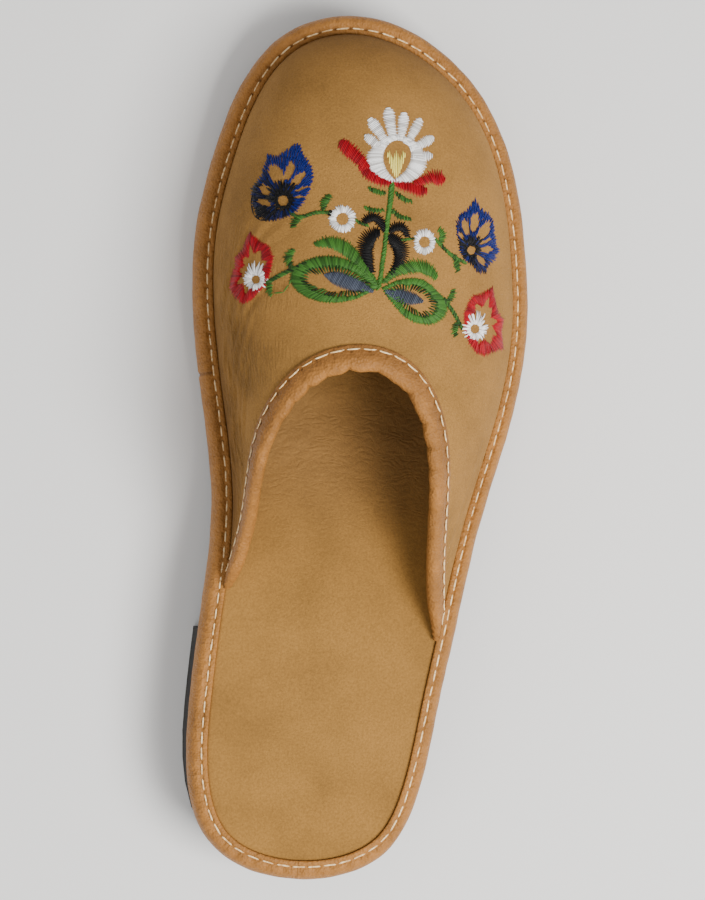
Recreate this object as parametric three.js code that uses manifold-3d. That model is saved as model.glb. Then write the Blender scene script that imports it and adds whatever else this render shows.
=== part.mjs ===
// Leather mule slipper for the right foot, in millimetres.
// +Y points to the toe, +X to the outer side of the foot, +Z up; the shoe stands on z = 0.
import * as THREE from "three";
import * as BufferGeometryUtils from "three/addons/utils/BufferGeometryUtils.js";
import Module from "manifold-3d";

// Driving dimensions
const LENGTH = 266;
const BALL_WIDTH = 104.4;
const HEEL_WIDTH = 76;
const THROAT_RISE = 53.4;
const HEEL_LIFT = 13;
const HEEL_LENGTH = 74;
const TOE_SPRING = 9;
const OUTSOLE_THICKNESS = 4.5;
const PLATFORM_THICKNESS = 8.5;
const SOCK_THICKNESS = 2;
const WRAP_THICKNESS = 1;
const VAMP_WALL = 2.2;
const BINDING_THICKNESS = 1.2;
const BINDING_FLAP = 6.8;
const WRAP_ROLL = 4.7;
const WRAP_ROLL_OUTER_SIDE = 3.8;
const LIP = 1.5;
const GAP = 0.3;

// Rubber details
const OUTSOLE_INSET = 1.3;
const HEEL_FLARE = 1.2;
const HEEL_CHAMFER = 0.8;
const BREAST_BOW = 3;
const GROOVE_WIDTH = 2;
const GROOVE_DEPTH = 1.4;
const GROOVE_PITCH = 10;
const GROOVE_BOW = 4;
const GROOVE_MARGIN = 9;

// Where the sole's underside changes, as shares of the length
const SHANK_END = 0.58;
const SPRING_START = 0.75;

// How finely the surfaces are divided
const OUTLINE_STEPS = 80;
const CAP_STEPS = 3;
const VAMP_STEPS = 68;
const VAMP_ROWS = 10;
const SECTION_SAMPLES = 60;

// Sole outline: at is a share of the length, inner and outer are the widths on the two sides of the
// foot's axis as shares of the local width, and ball says how much of that is the ball's width.
const OUTLINE = [
  { at: 0.04, inner: 0.371, outer: 0.361, ball: 0 },
  { at: 0.115, inner: 0.471, outer: 0.474, ball: 0 },
  { at: 0.2, inner: 0.479, outer: 0.522, ball: 0 },
  { at: 0.3, inner: 0.427, outer: 0.537, ball: 0.2 },
  { at: 0.42, inner: 0.371, outer: 0.553, ball: 0.5 },
  { at: 0.54, inner: 0.382, outer: 0.581, ball: 0.85 },
  { at: 0.64, inner: 0.41, outer: 0.59, ball: 1 },
  { at: 0.74, inner: 0.42, outer: 0.571, ball: 1 },
  { at: 0.84, inner: 0.376, outer: 0.514, ball: 1 },
  { at: 0.92, inner: 0.305, outer: 0.405, ball: 1 },
  { at: 0.97, inner: 0.207, outer: 0.262, ball: 1 },
];

// Collar edge, from its outer end over the throat to its inner end. at is a share of the length,
// across of the ball width, up of the throat's rise above the sock. foot is where the section from
// this row meets the seam, as a share of the seam from end to end. swell and round shape the section.
const COLLAR = [
  { at: 0.282, across: 0.36, up: 0.085, foot: 0, swell: 0.5, round: 2.4 },
  { at: 0.364, across: 0.328, up: 0.3, foot: 0.054, swell: 0.5, round: 2.4 },
  { at: 0.426, across: 0.315, up: 0.55, foot: 0.1, swell: 0.5, round: 2.4 },
  { at: 0.472, across: 0.305, up: 0.72, foot: 0.142, swell: 0.5, round: 2.5 },
  { at: 0.522, across: 0.278, up: 0.83, foot: 0.19, swell: 0.5, round: 2.8 },
  { at: 0.564, across: 0.22, up: 0.915, foot: 0.27, swell: 0.5, round: 3.4 },
  { at: 0.585, across: 0.147, up: 0.97, foot: 0.4, swell: 0.5, round: 4.6 },
  { at: 0.59, across: 0.056, up: 1, foot: 0.515, swell: 0.5, round: 5.5 },
  { at: 0.574, across: -0.061, up: 0.975, foot: 0.66, swell: 0.5, round: 4.6 },
  { at: 0.539, across: -0.144, up: 0.905, foot: 0.79, swell: 0.5, round: 3.4 },
  { at: 0.502, across: -0.188, up: 0.8, foot: 0.86, swell: 0.5, round: 2.8 },
  { at: 0.468, across: -0.207, up: 0.7, foot: 0.9, swell: 0.5, round: 2.5 },
  { at: 0.433, across: -0.213, up: 0.525, foot: 0.93, swell: 0.5, round: 2.4 },
  { at: 0.399, across: -0.221, up: 0.335, foot: 0.957, swell: 0.5, round: 2.4 },
  { at: 0.329, across: -0.266, up: 0.085, foot: 1, swell: 0.5, round: 2.4 },
];

// Side of the leather wrap from the outsole up to the stitched lip: inset is a share of the wrap's
// roll, up a share of its height.
const WRAP_SIDE = [
  { inset: 0.36, up: 0 },
  { inset: 0.12, up: 0.13 },
  { inset: 0, up: 0.35 },
  { inset: 0.03, up: 0.58 },
  { inset: 0.17, up: 0.79 },
  { inset: 0.42, up: 0.935 },
  { inset: 0.72, up: 1 },
  { inset: 1, up: 0.985 },
];

// Side of the outsole from the ground up, with one groove round it: inset in millimetres, up a share
// of its thickness.
const OUTSOLE_SIDE = [
  { inset: 0.9, up: 0 },
  { inset: 0, up: 0.16 },
  { inset: 0, up: 0.44 },
  { inset: 0.5, up: 0.5 },
  { inset: 0.5, up: 0.58 },
  { inset: 0, up: 0.64 },
  { inset: 0, up: 0.92 },
  { inset: 0.4, up: 1 },
];

// Levels above the sole's underside
const PLATFORM_BASE = OUTSOLE_THICKNESS + GAP;
const PLATFORM_TOP = PLATFORM_BASE + PLATFORM_THICKNESS;
const SOCK_TOP = PLATFORM_TOP + GAP + SOCK_THICKNESS;
const LIP_TOP = SOCK_TOP + WRAP_THICKNESS;
const SEAM_LEVEL = SOCK_TOP + GAP;

const wasm = await Module();
wasm.setup();

// Natural cubic through one value for each knot
function cubic(knots, values) {
  const last = knots.length - 1;
  const ratio = new Array(last + 1).fill(0);
  const sweep = new Array(last + 1).fill(0);
  const bend = new Array(last + 1).fill(0);
  for (let i = 1; i < last; i++) {
    const before = knots[i] - knots[i - 1];
    const after = knots[i + 1] - knots[i];
    const pull = 6 * ((values[i + 1] - values[i]) / after - (values[i] - values[i - 1]) / before);
    const pivot = 2 * (before + after) - before * ratio[i - 1];
    ratio[i] = after / pivot;
    sweep[i] = (pull - before * sweep[i - 1]) / pivot;
  }
  for (let i = last - 1; i > 0; i--) bend[i] = sweep[i] - ratio[i] * bend[i + 1];
  return (at) => {
    let i = 0;
    while (i < last - 1 && at > knots[i + 1]) i++;
    const span = knots[i + 1] - knots[i];
    const a = (knots[i + 1] - at) / span;
    const b = (at - knots[i]) / span;
    const bow = ((a ** 3 - a) * bend[i] + (b ** 3 - b) * bend[i + 1]) * span * span / 6;
    return a * values[i] + b * values[i + 1] + bow;
  };
}

// Running length along a list of points
function runningLength(points) {
  const lengths = [0];
  for (let i = 1; i < points.length; i++) {
    lengths.push(lengths[i - 1] + points[i].distanceTo(points[i - 1]));
  }
  return lengths;
}

// Evenly spaced points along a line of points
function evenly(points, count) {
  const lengths = runningLength(points);
  const total = lengths[lengths.length - 1];
  const result = [];
  let k = 0;
  for (let i = 0; i < count; i++) {
    const at = total * i / (count - 1);
    while (k < lengths.length - 2 && lengths[k + 1] < at) k++;
    const share = (at - lengths[k]) / (lengths[k + 1] - lengths[k]);
    result.push(points[k].clone().lerp(points[k + 1], share));
  }
  return result;
}

// Height of the sole's underside above the ground, at a distance from the heel's back
function underside(y) {
  const shankStart = HEEL_LENGTH / LENGTH;
  const t = y / LENGTH;
  if (t < shankStart) return HEEL_LIFT;
  if (t < SHANK_END) {
    const s = (t - shankStart) / (SHANK_END - shankStart);
    return HEEL_LIFT * (1 - s * s * (3 - 2 * s));
  }
  if (t < SPRING_START) return 0;
  const s = (t - SPRING_START) / (1 - SPRING_START);
  return TOE_SPRING * s * s;
}

// Closed outline seen from above, anticlockwise from the back of the heel
function makeOutline() {
  const side = (row, share) => {
    const width = HEEL_WIDTH + (BALL_WIDTH - HEEL_WIDTH) * row.ball;
    return new THREE.Vector2(share * width, row.at * LENGTH);
  };
  const corners = [
    new THREE.Vector2(0, 0),
    ...OUTLINE.map((row) => side(row, row.outer)),
    new THREE.Vector2(0, LENGTH),
    ...OUTLINE.map((row) => side(row, -row.inner)).reverse(),
  ];
  const overlap = 5;
  const wrapped = [];
  for (let i = -overlap; i <= corners.length + overlap; i++) {
    wrapped.push(corners[(i + corners.length) % corners.length]);
  }
  const knots = runningLength(wrapped);
  const x = cubic(knots, wrapped.map((p) => p.x));
  const y = cubic(knots, wrapped.map((p) => p.y));
  const start = knots[overlap];
  const end = knots[overlap + corners.length];
  const fine = [];
  const samples = OUTLINE_STEPS * 12;
  for (let i = 0; i <= samples; i++) {
    const at = start + (end - start) * i / samples;
    fine.push(new THREE.Vector2(x(at), y(at)));
  }
  return evenly(fine, OUTLINE_STEPS + 1).slice(0, OUTLINE_STEPS);
}

const outline = makeOutline();

// Outward direction at each point of the outline
const outward = outline.map((point, i) => {
  const before = outline[(i + outline.length - 1) % outline.length];
  const after = outline[(i + 1) % outline.length];
  const along = after.clone().sub(before).normalize();
  return new THREE.Vector2(along.y, -along.x);
});

// The wrap shows less on the outer side of the foot than elsewhere
function rollAt(i) {
  const towardOuterSide = Math.max(0, outward[i].x) ** 2;
  return WRAP_ROLL + (WRAP_ROLL_OUTER_SIDE - WRAP_ROLL) * towardOuterSide;
}

// The outline moved inward by a distance given for each point
function insetOutline(distanceAt) {
  return outline.map((point, i) => point.clone().addScaledVector(outward[i], -distanceAt(i)));
}

const footLine = insetOutline((i) => rollAt(i) + LIP + GAP);

// Vertices and triangles of one closed body
class Body {
  constructor() {
    this.points = [];
    this.faces = [];
  }

  add(point) {
    this.points.push(point.x, point.y, point.z);
    return this.points.length / 3 - 1;
  }

  row(points) {
    return points.map((point) => this.add(point));
  }

  quad(a, b, c, d) {
    this.faces.push(a, b, c, a, c, d);
  }

  // Skin between two rows of vertices; a closed row joins its last vertex to its first
  skin(lower, upper, closed) {
    const steps = closed ? lower.length : lower.length - 1;
    for (let i = 0; i < steps; i++) {
      const next = (i + 1) % lower.length;
      this.quad(lower[i], lower[next], upper[next], upper[i]);
    }
  }

  geometry() {
    const geometry = new THREE.BufferGeometry();
    geometry.setAttribute("position", new THREE.Float32BufferAttribute(this.points, 3));
    geometry.setIndex(this.faces);
    return geometry;
  }
}

// Lid over a closed row that starts at the heel and has the toe halfway round. Its rungs cross the
// shoe, and heightAt gives the height of each point.
function addLid(body, ring, ringPoints, heightAt, facesUp) {
  const half = ring.length / 2;
  const rungs = [];
  for (let j = 1; j < half; j++) {
    const rung = [ring[j]];
    const from = ringPoints[j];
    const to = ringPoints[ring.length - j];
    for (let m = 1; m < CAP_STEPS; m++) {
      const p = from.clone().lerp(to, m / CAP_STEPS);
      p.z = heightAt(p.y);
      rung.push(body.add(p));
    }
    rung.push(ring[ring.length - j]);
    rungs.push(rung);
  }
  const triangle = (a, b, c) => (facesUp ? body.faces.push(a, b, c) : body.faces.push(a, c, b));
  for (let m = 0; m < CAP_STEPS; m++) {
    triangle(ring[0], rungs[0][m], rungs[0][m + 1]);
    const front = rungs[rungs.length - 1];
    triangle(ring[half], front[m + 1], front[m]);
    for (let j = 0; j < rungs.length - 1; j++) {
      const near = rungs[j];
      const far = rungs[j + 1];
      triangle(near[m], far[m], far[m + 1]);
      triangle(near[m], far[m + 1], near[m + 1]);
    }
  }
}

// Closed body through rings round the outline: each ring has an inset and a level above the underside
function soleBody(rings) {
  const body = new Body();
  const loops = rings.map((ring) => {
    return insetOutline(ring.inset).map((p) => new THREE.Vector3(p.x, p.y, underside(p.y) + ring.level));
  });
  const rows = loops.map((loop) => body.row(loop));
  for (let k = 0; k < rows.length - 1; k++) body.skin(rows[k], rows[k + 1], true);
  const top = rings.length - 1;
  addLid(body, rows[0], loops[0], (y) => underside(y) + rings[0].level, false);
  addLid(body, rows[top], loops[top], (y) => underside(y) + rings[top].level, true);
  return body.geometry();
}

// Boolean helpers
function toSolid(geometry) {
  const bare = geometry.clone();
  bare.deleteAttribute("normal");
  bare.deleteAttribute("uv");
  const merged = BufferGeometryUtils.mergeVertices(bare, 1e-5);
  return new wasm.Manifold(new wasm.Mesh({
    numProp: 3,
    vertProperties: new Float32Array(merged.attributes.position.array),
    triVerts: new Uint32Array(merged.index.array),
  }));
}

function fromSolid(solid) {
  const mesh = solid.getMesh();
  const geometry = new THREE.BufferGeometry();
  geometry.setAttribute("position", new THREE.BufferAttribute(new Float32Array(mesh.vertProperties), 3));
  geometry.setIndex(new THREE.BufferAttribute(new Uint32Array(mesh.triVerts), 1));
  return geometry;
}

// Inner and outer edge of the sole at a distance from the heel's back
function edgesAt(y) {
  const half = outline.length / 2;
  const cross = (from, to) => {
    for (let i = from; i < to; i++) {
      const a = outline[i];
      const b = outline[(i + 1) % outline.length];
      if ((a.y - y) * (b.y - y) <= 0) return a.x + (b.x - a.x) * (y - a.y) / (b.y - a.y);
    }
    return 0;
  };
  return { outer: cross(0, half), inner: cross(half, outline.length) };
}

// One bowed groove across the tread, centred at a distance from the heel's back
function groove(y, roof) {
  const edges = edgesAt(y);
  const from = edges.inner + GROOVE_MARGIN;
  const to = edges.outer - GROOVE_MARGIN;
  const steps = 4;
  const line = [];
  for (let i = 0; i <= steps; i++) {
    const share = i / steps;
    line.push(new THREE.Vector2(from + (to - from) * share, y - GROOVE_BOW * (2 * share - 1) ** 2));
  }
  const shift = (p, side) => new THREE.Vector2(p.x, p.y + side * GROOVE_WIDTH / 2);
  const shape = new THREE.Shape([...line.map((p) => shift(p, -1)), ...line.map((p) => shift(p, 1)).reverse()]);
  const depth = GROOVE_DEPTH + GROOVE_WIDTH;
  const geometry = new THREE.ExtrudeGeometry(shape, { depth, bevelEnabled: false });
  geometry.translate(0, 0, roof - depth);
  return toSolid(geometry);
}

function cutGrooves(geometry, firstY, lastY, levelAt) {
  let solid = toSolid(geometry);
  for (let y = firstY; y <= lastY; y += GROOVE_PITCH) {
    solid = solid.subtract(groove(y, levelAt(y - GROOVE_BOW / 2) + GROOVE_DEPTH));
  }
  return fromSolid(solid);
}

function makeOutsole() {
  const rings = OUTSOLE_SIDE.map((row) => ({
    inset: () => OUTSOLE_INSET + row.inset,
    level: row.up * OUTSOLE_THICKNESS,
  }));
  const firstY = SHANK_END * LENGTH + GROOVE_PITCH / 2;
  return cutGrooves(soleBody(rings), firstY, LENGTH * 0.95, underside);
}

function makeHeel() {
  const count = outline.length;
  const behind = outline.map((point, i) => i).filter((i) => outline[i].y < HEEL_LENGTH);
  const lastOuter = Math.max(...behind.filter((i) => i < count / 2));
  const firstInner = Math.min(...behind.filter((i) => i > count / 2));
  const breastSteps = 6;
  const ringAt = (inset, z) => {
    const line = insetOutline(() => inset);
    const cornerAt = (a, b) => {
      const corner = line[a].clone().lerp(line[b], (HEEL_LENGTH - line[a].y) / (line[b].y - line[a].y));
      return new THREE.Vector3(corner.x, corner.y, z);
    };
    const innerCorner = cornerAt(firstInner, firstInner - 1);
    const outerCorner = cornerAt(lastOuter, lastOuter + 1);
    const ring = [innerCorner];
    for (let i = firstInner; i <= lastOuter + count; i++) {
      ring.push(new THREE.Vector3(line[i % count].x, line[i % count].y, z));
    }
    ring.push(outerCorner);
    for (let k = 1; k < breastSteps; k++) {
      const share = k / breastSteps;
      const p = outerCorner.clone().lerp(innerCorner, share);
      p.y -= BREAST_BOW * (1 - (2 * share - 1) ** 2);
      ring.push(p);
    }
    return ring;
  };
  const top = HEEL_LIFT - GAP;
  const loops = [
    ringAt(HEEL_CHAMFER - HEEL_FLARE, 0),
    ringAt(-HEEL_FLARE, HEEL_CHAMFER),
    ringAt(OUTSOLE_INSET - HEEL_CHAMFER, top - HEEL_CHAMFER),
    ringAt(OUTSOLE_INSET, top),
  ];
  const body = new Body();
  const rows = loops.map((loop) => body.row(loop));
  for (let k = 0; k < rows.length - 1; k++) body.skin(rows[k], rows[k + 1], true);
  const lid = (row, loop, facesUp) => {
    const flat = loop.map((p) => new THREE.Vector2(p.x, p.y));
    for (const [a, b, c] of THREE.ShapeUtils.triangulateShape(flat, [])) {
      if (facesUp) body.faces.push(row[a], row[b], row[c]);
      else body.faces.push(row[a], row[c], row[b]);
    }
  };
  lid(rows[0], loops[0], false);
  lid(rows[rows.length - 1], loops[loops.length - 1], true);
  return cutGrooves(body.geometry(), GROOVE_PITCH * 1.5, HEEL_LENGTH - GROOVE_PITCH, () => 0);
}

function makeMidsole() {
  const height = LIP_TOP - PLATFORM_BASE;
  const rings = WRAP_SIDE.map((row) => ({
    inset: (i) => row.inset * rollAt(i),
    level: PLATFORM_BASE + row.up * height,
  }));
  rings.push({ inset: (i) => rollAt(i) + LIP, level: LIP_TOP });
  rings.push({ inset: (i) => rollAt(i) + LIP, level: PLATFORM_TOP });
  return soleBody(rings);
}

function makeInsole() {
  const edge = (extra) => (i) => rollAt(i) + LIP + GAP + extra;
  const base = PLATFORM_TOP + GAP;
  return soleBody([
    { inset: edge(0), level: base },
    { inset: edge(0), level: base + SOCK_THICKNESS * 0.8 },
    { inset: edge(0.5), level: SOCK_TOP },
  ]);
}

// The seam that the vamp stands on, from the outer collar end round the toe to the inner one
function makeSeam() {
  const half = footLine.length / 2;
  const ends = [COLLAR[0].at * LENGTH, COLLAR[COLLAR.length - 1].at * LENGTH];
  const line = footLine.filter((p, i) => (i < half ? p.y > ends[0] : p.y > ends[1]));
  const endPoint = (from, y) => {
    const i = footLine.indexOf(from);
    const next = footLine[i < half ? i - 1 : i + 1];
    return from.clone().lerp(next, (from.y - y) / (from.y - next.y));
  };
  line.unshift(endPoint(line[0], ends[0]));
  line.push(endPoint(line[line.length - 1], ends[1]));
  const knots = runningLength(line);
  const total = knots[knots.length - 1];
  const x = cubic(knots, line.map((p) => p.x));
  const y = cubic(knots, line.map((p) => p.y));
  return (share) => new THREE.Vector3(x(share * total), y(share * total), 0);
}

// Outer face of the vamp: sections from the seam up to the collar edge, evenly divided
function makeVamp() {
  const seam = makeSeam();
  const collar = COLLAR.map((row) => {
    const y = row.at * LENGTH;
    return new THREE.Vector3(row.across * BALL_WIDTH, y, underside(y) + SOCK_TOP + row.up * THROAT_RISE);
  });
  const knots = runningLength(collar);
  const total = knots[knots.length - 1];
  const column = (pick) => cubic(knots, pick);
  const edge = ["x", "y", "z"].map((axis) => column(collar.map((p) => p[axis])));
  const [foot, swell, round] = ["foot", "swell", "round"].map((name) => column(COLLAR.map((row) => row[name])));
  const sectionAt = (share) => {
    const at = share * total;
    const low = seam(THREE.MathUtils.clamp(foot(at), 0, 1));
    low.z = underside(low.y) + SEAM_LEVEL;
    const high = new THREE.Vector3(edge[0](at), edge[1](at), edge[2](at));
    const points = [];
    for (let i = 0; i <= SECTION_SAMPLES; i++) {
      const run = (i / SECTION_SAMPLES) ** 2;
      const rise = swell(at) * Math.sqrt(1 - (1 - run) ** round(at)) + (1 - swell(at)) * run;
      const p = low.clone().lerp(high, run);
      p.z = low.z + (high.z - low.z) * rise;
      points.push(p);
    }
    return points;
  };
  // Sections are spread by the mean of the collar's and the seam's running lengths
  const fine = 400;
  const collarLine = [];
  const seamLine = [];
  for (let i = 0; i <= fine; i++) {
    const at = total * i / fine;
    collarLine.push(new THREE.Vector3(edge[0](at), edge[1](at), edge[2](at)));
    seamLine.push(seam(THREE.MathUtils.clamp(foot(at), 0, 1)));
  }
  const collarRun = runningLength(collarLine);
  const seamRun = runningLength(seamLine);
  const mean = collarRun.map((length, i) => (length / collarRun[fine] + seamRun[i] / seamRun[fine]) / 2);
  const sections = [];
  let k = 0;
  for (let i = 0; i <= VAMP_STEPS; i++) {
    const at = i / VAMP_STEPS;
    while (k < fine - 1 && mean[k + 1] < at) k++;
    const share = (k + (at - mean[k]) / (mean[k + 1] - mean[k])) / fine;
    sections.push(sectionAt(THREE.MathUtils.clamp(share, 0, 1)));
  }
  return sections;
}

const vampSections = makeVamp();

// Outward normals of a grid of rows
function gridNormals(grid) {
  const lastRow = grid.length - 1;
  return grid.map((row, i) => row.map((point, j) => {
    const along = grid[Math.min(i + 1, lastRow)][j].clone().sub(grid[Math.max(i - 1, 0)][j]);
    const up = row[Math.min(j + 1, row.length - 1)].clone().sub(row[Math.max(j - 1, 0)]);
    return along.cross(up).normalize();
  }));
}

const vampGrid = vampSections.map((section) => evenly(section, VAMP_ROWS + 1));
const vampNormals = gridNormals(vampGrid);

function makeUpper() {
  const body = new Body();
  const outer = vampGrid.map((row) => body.row(row));
  const inner = vampGrid.map((row, i) => row.map((point, j) => {
    const p = point.clone().addScaledVector(vampNormals[i][j], -VAMP_WALL);
    if (j === 0) p.z = point.z;
    return body.add(p);
  }));
  for (let i = 0; i < VAMP_STEPS; i++) {
    body.skin([outer[i][0], outer[i + 1][0]], [outer[i][1], outer[i + 1][1]], false);
    for (let j = 1; j < VAMP_ROWS; j++) {
      body.quad(outer[i][j], outer[i + 1][j], outer[i + 1][j + 1], outer[i][j + 1]);
    }
    for (let j = 0; j < VAMP_ROWS; j++) {
      body.quad(inner[i + 1][j], inner[i][j], inner[i][j + 1], inner[i + 1][j + 1]);
    }
    body.quad(outer[i + 1][0], outer[i][0], inner[i][0], inner[i + 1][0]);
    body.quad(outer[i][VAMP_ROWS], outer[i + 1][VAMP_ROWS], inner[i + 1][VAMP_ROWS], inner[i][VAMP_ROWS]);
  }
  for (let j = 0; j < VAMP_ROWS; j++) {
    body.quad(inner[0][j], outer[0][j], outer[0][j + 1], inner[0][j + 1]);
    body.quad(outer[VAMP_STEPS][j], inner[VAMP_STEPS][j], inner[VAMP_STEPS][j + 1], outer[VAMP_STEPS][j + 1]);
  }
  return body.geometry();
}

function makeBinding() {
  const body = new Body();
  const flapSteps = 2;
  const foldSteps = 4;
  const lipClearance = WRAP_THICKNESS + GAP * 3;
  const near = GAP * 1.4;
  const far = near + BINDING_THICKNESS;
  const mid = -VAMP_WALL / 2;
  const rings = vampSections.map((section, i) => {
    const lengths = runningLength(section);
    const total = lengths[lengths.length - 1];
    const flap = Math.min(BINDING_FLAP, total - lipClearance);
    const down = [];
    for (let k = 0; k <= flapSteps; k++) {
      const at = total - flap * (1 - k / flapSteps);
      let n = 0;
      while (n < lengths.length - 2 && lengths[n + 1] < at) n++;
      down.push(section[n].clone().lerp(section[n + 1], (at - lengths[n]) / (lengths[n + 1] - lengths[n])));
    }
    const normal = vampNormals[i][VAMP_ROWS];
    const rise = down[flapSteps].clone().sub(down[flapSteps - 1]).normalize();
    const side = (offset) => down.map((p) => p.clone().addScaledVector(normal, offset));
    const fold = (radius) => {
      const arc = [];
      for (let k = 1; k < foldSteps; k++) {
        const angle = Math.PI * k / foldSteps;
        const p = down[flapSteps].clone();
        p.addScaledVector(normal, mid + Math.cos(angle) * radius);
        p.addScaledVector(rise, Math.sin(angle) * radius);
        arc.push(p);
      }
      return arc;
    };
    const outside = [...side(far), ...fold(far - mid), ...side(-VAMP_WALL - far).reverse()];
    const inside = [...side(near), ...fold(near - mid), ...side(-VAMP_WALL - near).reverse()];
    return [...outside, ...inside.reverse()];
  });
  const rows = rings.map((ring) => body.row(ring));
  for (let i = 0; i < rows.length - 1; i++) body.skin(rows[i + 1], rows[i], true);
  const half = rows[0].length / 2;
  const first = rows[0];
  const last = rows[rows.length - 1];
  for (let k = 0; k < half - 1; k++) {
    const opposite = 2 * half - 1 - k;
    body.quad(first[k], first[k + 1], first[opposite - 1], first[opposite]);
    body.quad(last[k + 1], last[k], last[opposite], last[opposite - 1]);
  }
  return body.geometry();
}

const LEATHER = { roughness: 0.72, metalness: 0 };
const RUBBER = { color: 0x1c1b1b, roughness: 0.62, metalness: 0 };

const PIECES = [
  { name: "outsole", make: makeOutsole, finish: RUBBER },
  { name: "heel", make: makeHeel, finish: RUBBER },
  { name: "midsole", make: makeMidsole, finish: { color: 0xc0905f, ...LEATHER, roughness: 0.5 } },
  { name: "insole", make: makeInsole, finish: { color: 0xb48f58, ...LEATHER, roughness: 0.85 } },
  { name: "upper", make: makeUpper, finish: { color: 0xa27c4c, ...LEATHER } },
  { name: "collar_binding", make: makeBinding, finish: { color: 0xbd8c58, ...LEATHER, roughness: 0.5 } },
];

const shoe = new THREE.Group();
for (const piece of PIECES) {
  const mesh = new THREE.Mesh(piece.make(), new THREE.MeshStandardMaterial(piece.finish));
  mesh.name = piece.name;
  shoe.add(mesh);
}

// The origin is the middle of the bounding box's underside
const box = new THREE.Box3().setFromObject(shoe);
const centre = box.getCenter(new THREE.Vector3());
shoe.position.set(-centre.x, -centre.y, -box.min.z);

export default shoe;
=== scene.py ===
import math

import bmesh
import bpy
import numpy as np
from bpy.props import FloatProperty, FloatVectorProperty, IntProperty, PointerProperty
from mathutils import Matrix, Vector
from mathutils.bvhtree import BVHTree


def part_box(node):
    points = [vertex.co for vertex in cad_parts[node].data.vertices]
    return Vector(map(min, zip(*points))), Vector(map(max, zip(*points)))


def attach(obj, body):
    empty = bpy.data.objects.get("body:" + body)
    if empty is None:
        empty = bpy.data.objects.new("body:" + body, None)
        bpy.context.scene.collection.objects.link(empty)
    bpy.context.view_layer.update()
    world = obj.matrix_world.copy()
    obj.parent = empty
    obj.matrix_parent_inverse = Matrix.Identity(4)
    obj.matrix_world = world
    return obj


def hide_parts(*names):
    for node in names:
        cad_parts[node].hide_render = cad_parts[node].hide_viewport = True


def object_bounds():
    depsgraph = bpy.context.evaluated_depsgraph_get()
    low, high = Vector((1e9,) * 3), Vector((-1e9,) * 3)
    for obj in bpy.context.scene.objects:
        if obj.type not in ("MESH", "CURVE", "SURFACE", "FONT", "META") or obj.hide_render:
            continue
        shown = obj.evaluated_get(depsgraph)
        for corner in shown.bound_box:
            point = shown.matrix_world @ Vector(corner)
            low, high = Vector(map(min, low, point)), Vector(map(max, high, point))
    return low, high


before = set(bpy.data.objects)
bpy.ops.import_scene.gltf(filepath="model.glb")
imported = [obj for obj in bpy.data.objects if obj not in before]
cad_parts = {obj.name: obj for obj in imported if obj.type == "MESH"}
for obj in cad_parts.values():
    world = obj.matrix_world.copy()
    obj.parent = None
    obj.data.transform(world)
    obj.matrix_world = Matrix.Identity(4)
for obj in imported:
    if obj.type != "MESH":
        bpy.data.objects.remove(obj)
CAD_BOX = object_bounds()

bl_info = {
    "name": "Leather mule slipper",
    "version": (1, 0, 0),
    "blender": (4, 5, 0),
    "location": "3D View > Sidebar > Slipper",
    "description": "Builds an embroidered leather mule slipper round its packed frame",
    "category": "Add Mesh",
}

MM = 0.001

# Sizes of the shoe in millimetres, as in the frame
LENGTH = 266.0
BALL_WIDTH = 104.4
HEEL_WIDTH = 76.0
THROAT_RISE = 53.4
HEEL_LIFT = 13.0
HEEL_LENGTH = 74.0
TOE_SPRING = 9.0
SHANK_END = 0.58
SPRING_START = 0.75
OUTSOLE_THICKNESS = 4.5
GAP = 0.3
PLATFORM_BASE = OUTSOLE_THICKNESS + GAP
PLATFORM_TOP = PLATFORM_BASE + 8.5
SOCK_BASE = PLATFORM_TOP + GAP
SOCK_TOP = SOCK_BASE + 2.0
LIP_TOP = SOCK_TOP + 1.0
VAMP_WALL = 1.7
BINDING_NEAR = 0.2
BINDING_THICKNESS = 0.85
BINDING_FLAP = 5.9
BINDING_CREST = 1.6
OUTER_TAPER = 15.0
INNER_TAPER = 9.5
END_TAPER_WIDTH = 0.35
END_HEIGHT = 0.12
WRAP_ROLL = 4.7
WRAP_ROLL_OUTER_SIDE = 3.8
LIP = 1.5
SOCK_EDGE_GAP = 0.1

# Outline rows: share of the length, inner and outer width as shares of the local width, ball share
OUTLINE = np.array([
    (0.04, 0.371, 0.361, 0), (0.115, 0.471, 0.474, 0), (0.2, 0.479, 0.522, 0),
    (0.3, 0.427, 0.537, 0.2), (0.42, 0.371, 0.553, 0.5), (0.54, 0.382, 0.581, 0.85),
    (0.64, 0.41, 0.59, 1), (0.74, 0.42, 0.571, 1), (0.84, 0.376, 0.514, 1),
    (0.92, 0.305, 0.405, 1), (0.97, 0.207, 0.262, 1),
])

# Collar rows from its outer end to its inner one: share of the length, share of the ball's width to the
# outer side, share of the throat's rise, share of the seam at the section's foot, and the section's
# swell and roundness
COLLAR = np.array([
    (0.282, 0.36, 0.085, 0, 0.5, 2.4), (0.364, 0.328, 0.3, 0.054, 0.5, 2.4),
    (0.426, 0.315, 0.55, 0.1, 0.5, 2.4), (0.472, 0.305, 0.72, 0.142, 0.5, 2.5),
    (0.522, 0.278, 0.83, 0.19, 0.5, 2.8), (0.564, 0.22, 0.915, 0.27, 0.5, 3.4),
    (0.585, 0.147, 0.97, 0.4, 0.5, 4.6), (0.59, 0.056, 1, 0.515, 0.5, 5.5),
    (0.574, -0.061, 0.975, 0.66, 0.5, 4.6), (0.539, -0.144, 0.905, 0.79, 0.5, 3.4),
    (0.502, -0.188, 0.8, 0.86, 0.5, 2.8), (0.468, -0.207, 0.7, 0.9, 0.5, 2.5),
    (0.433, -0.213, 0.525, 0.93, 0.5, 2.4), (0.399, -0.221, 0.335, 0.957, 0.5, 2.4),
    (0.329, -0.266, 0.085, 1, 0.5, 2.4),
])

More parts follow.
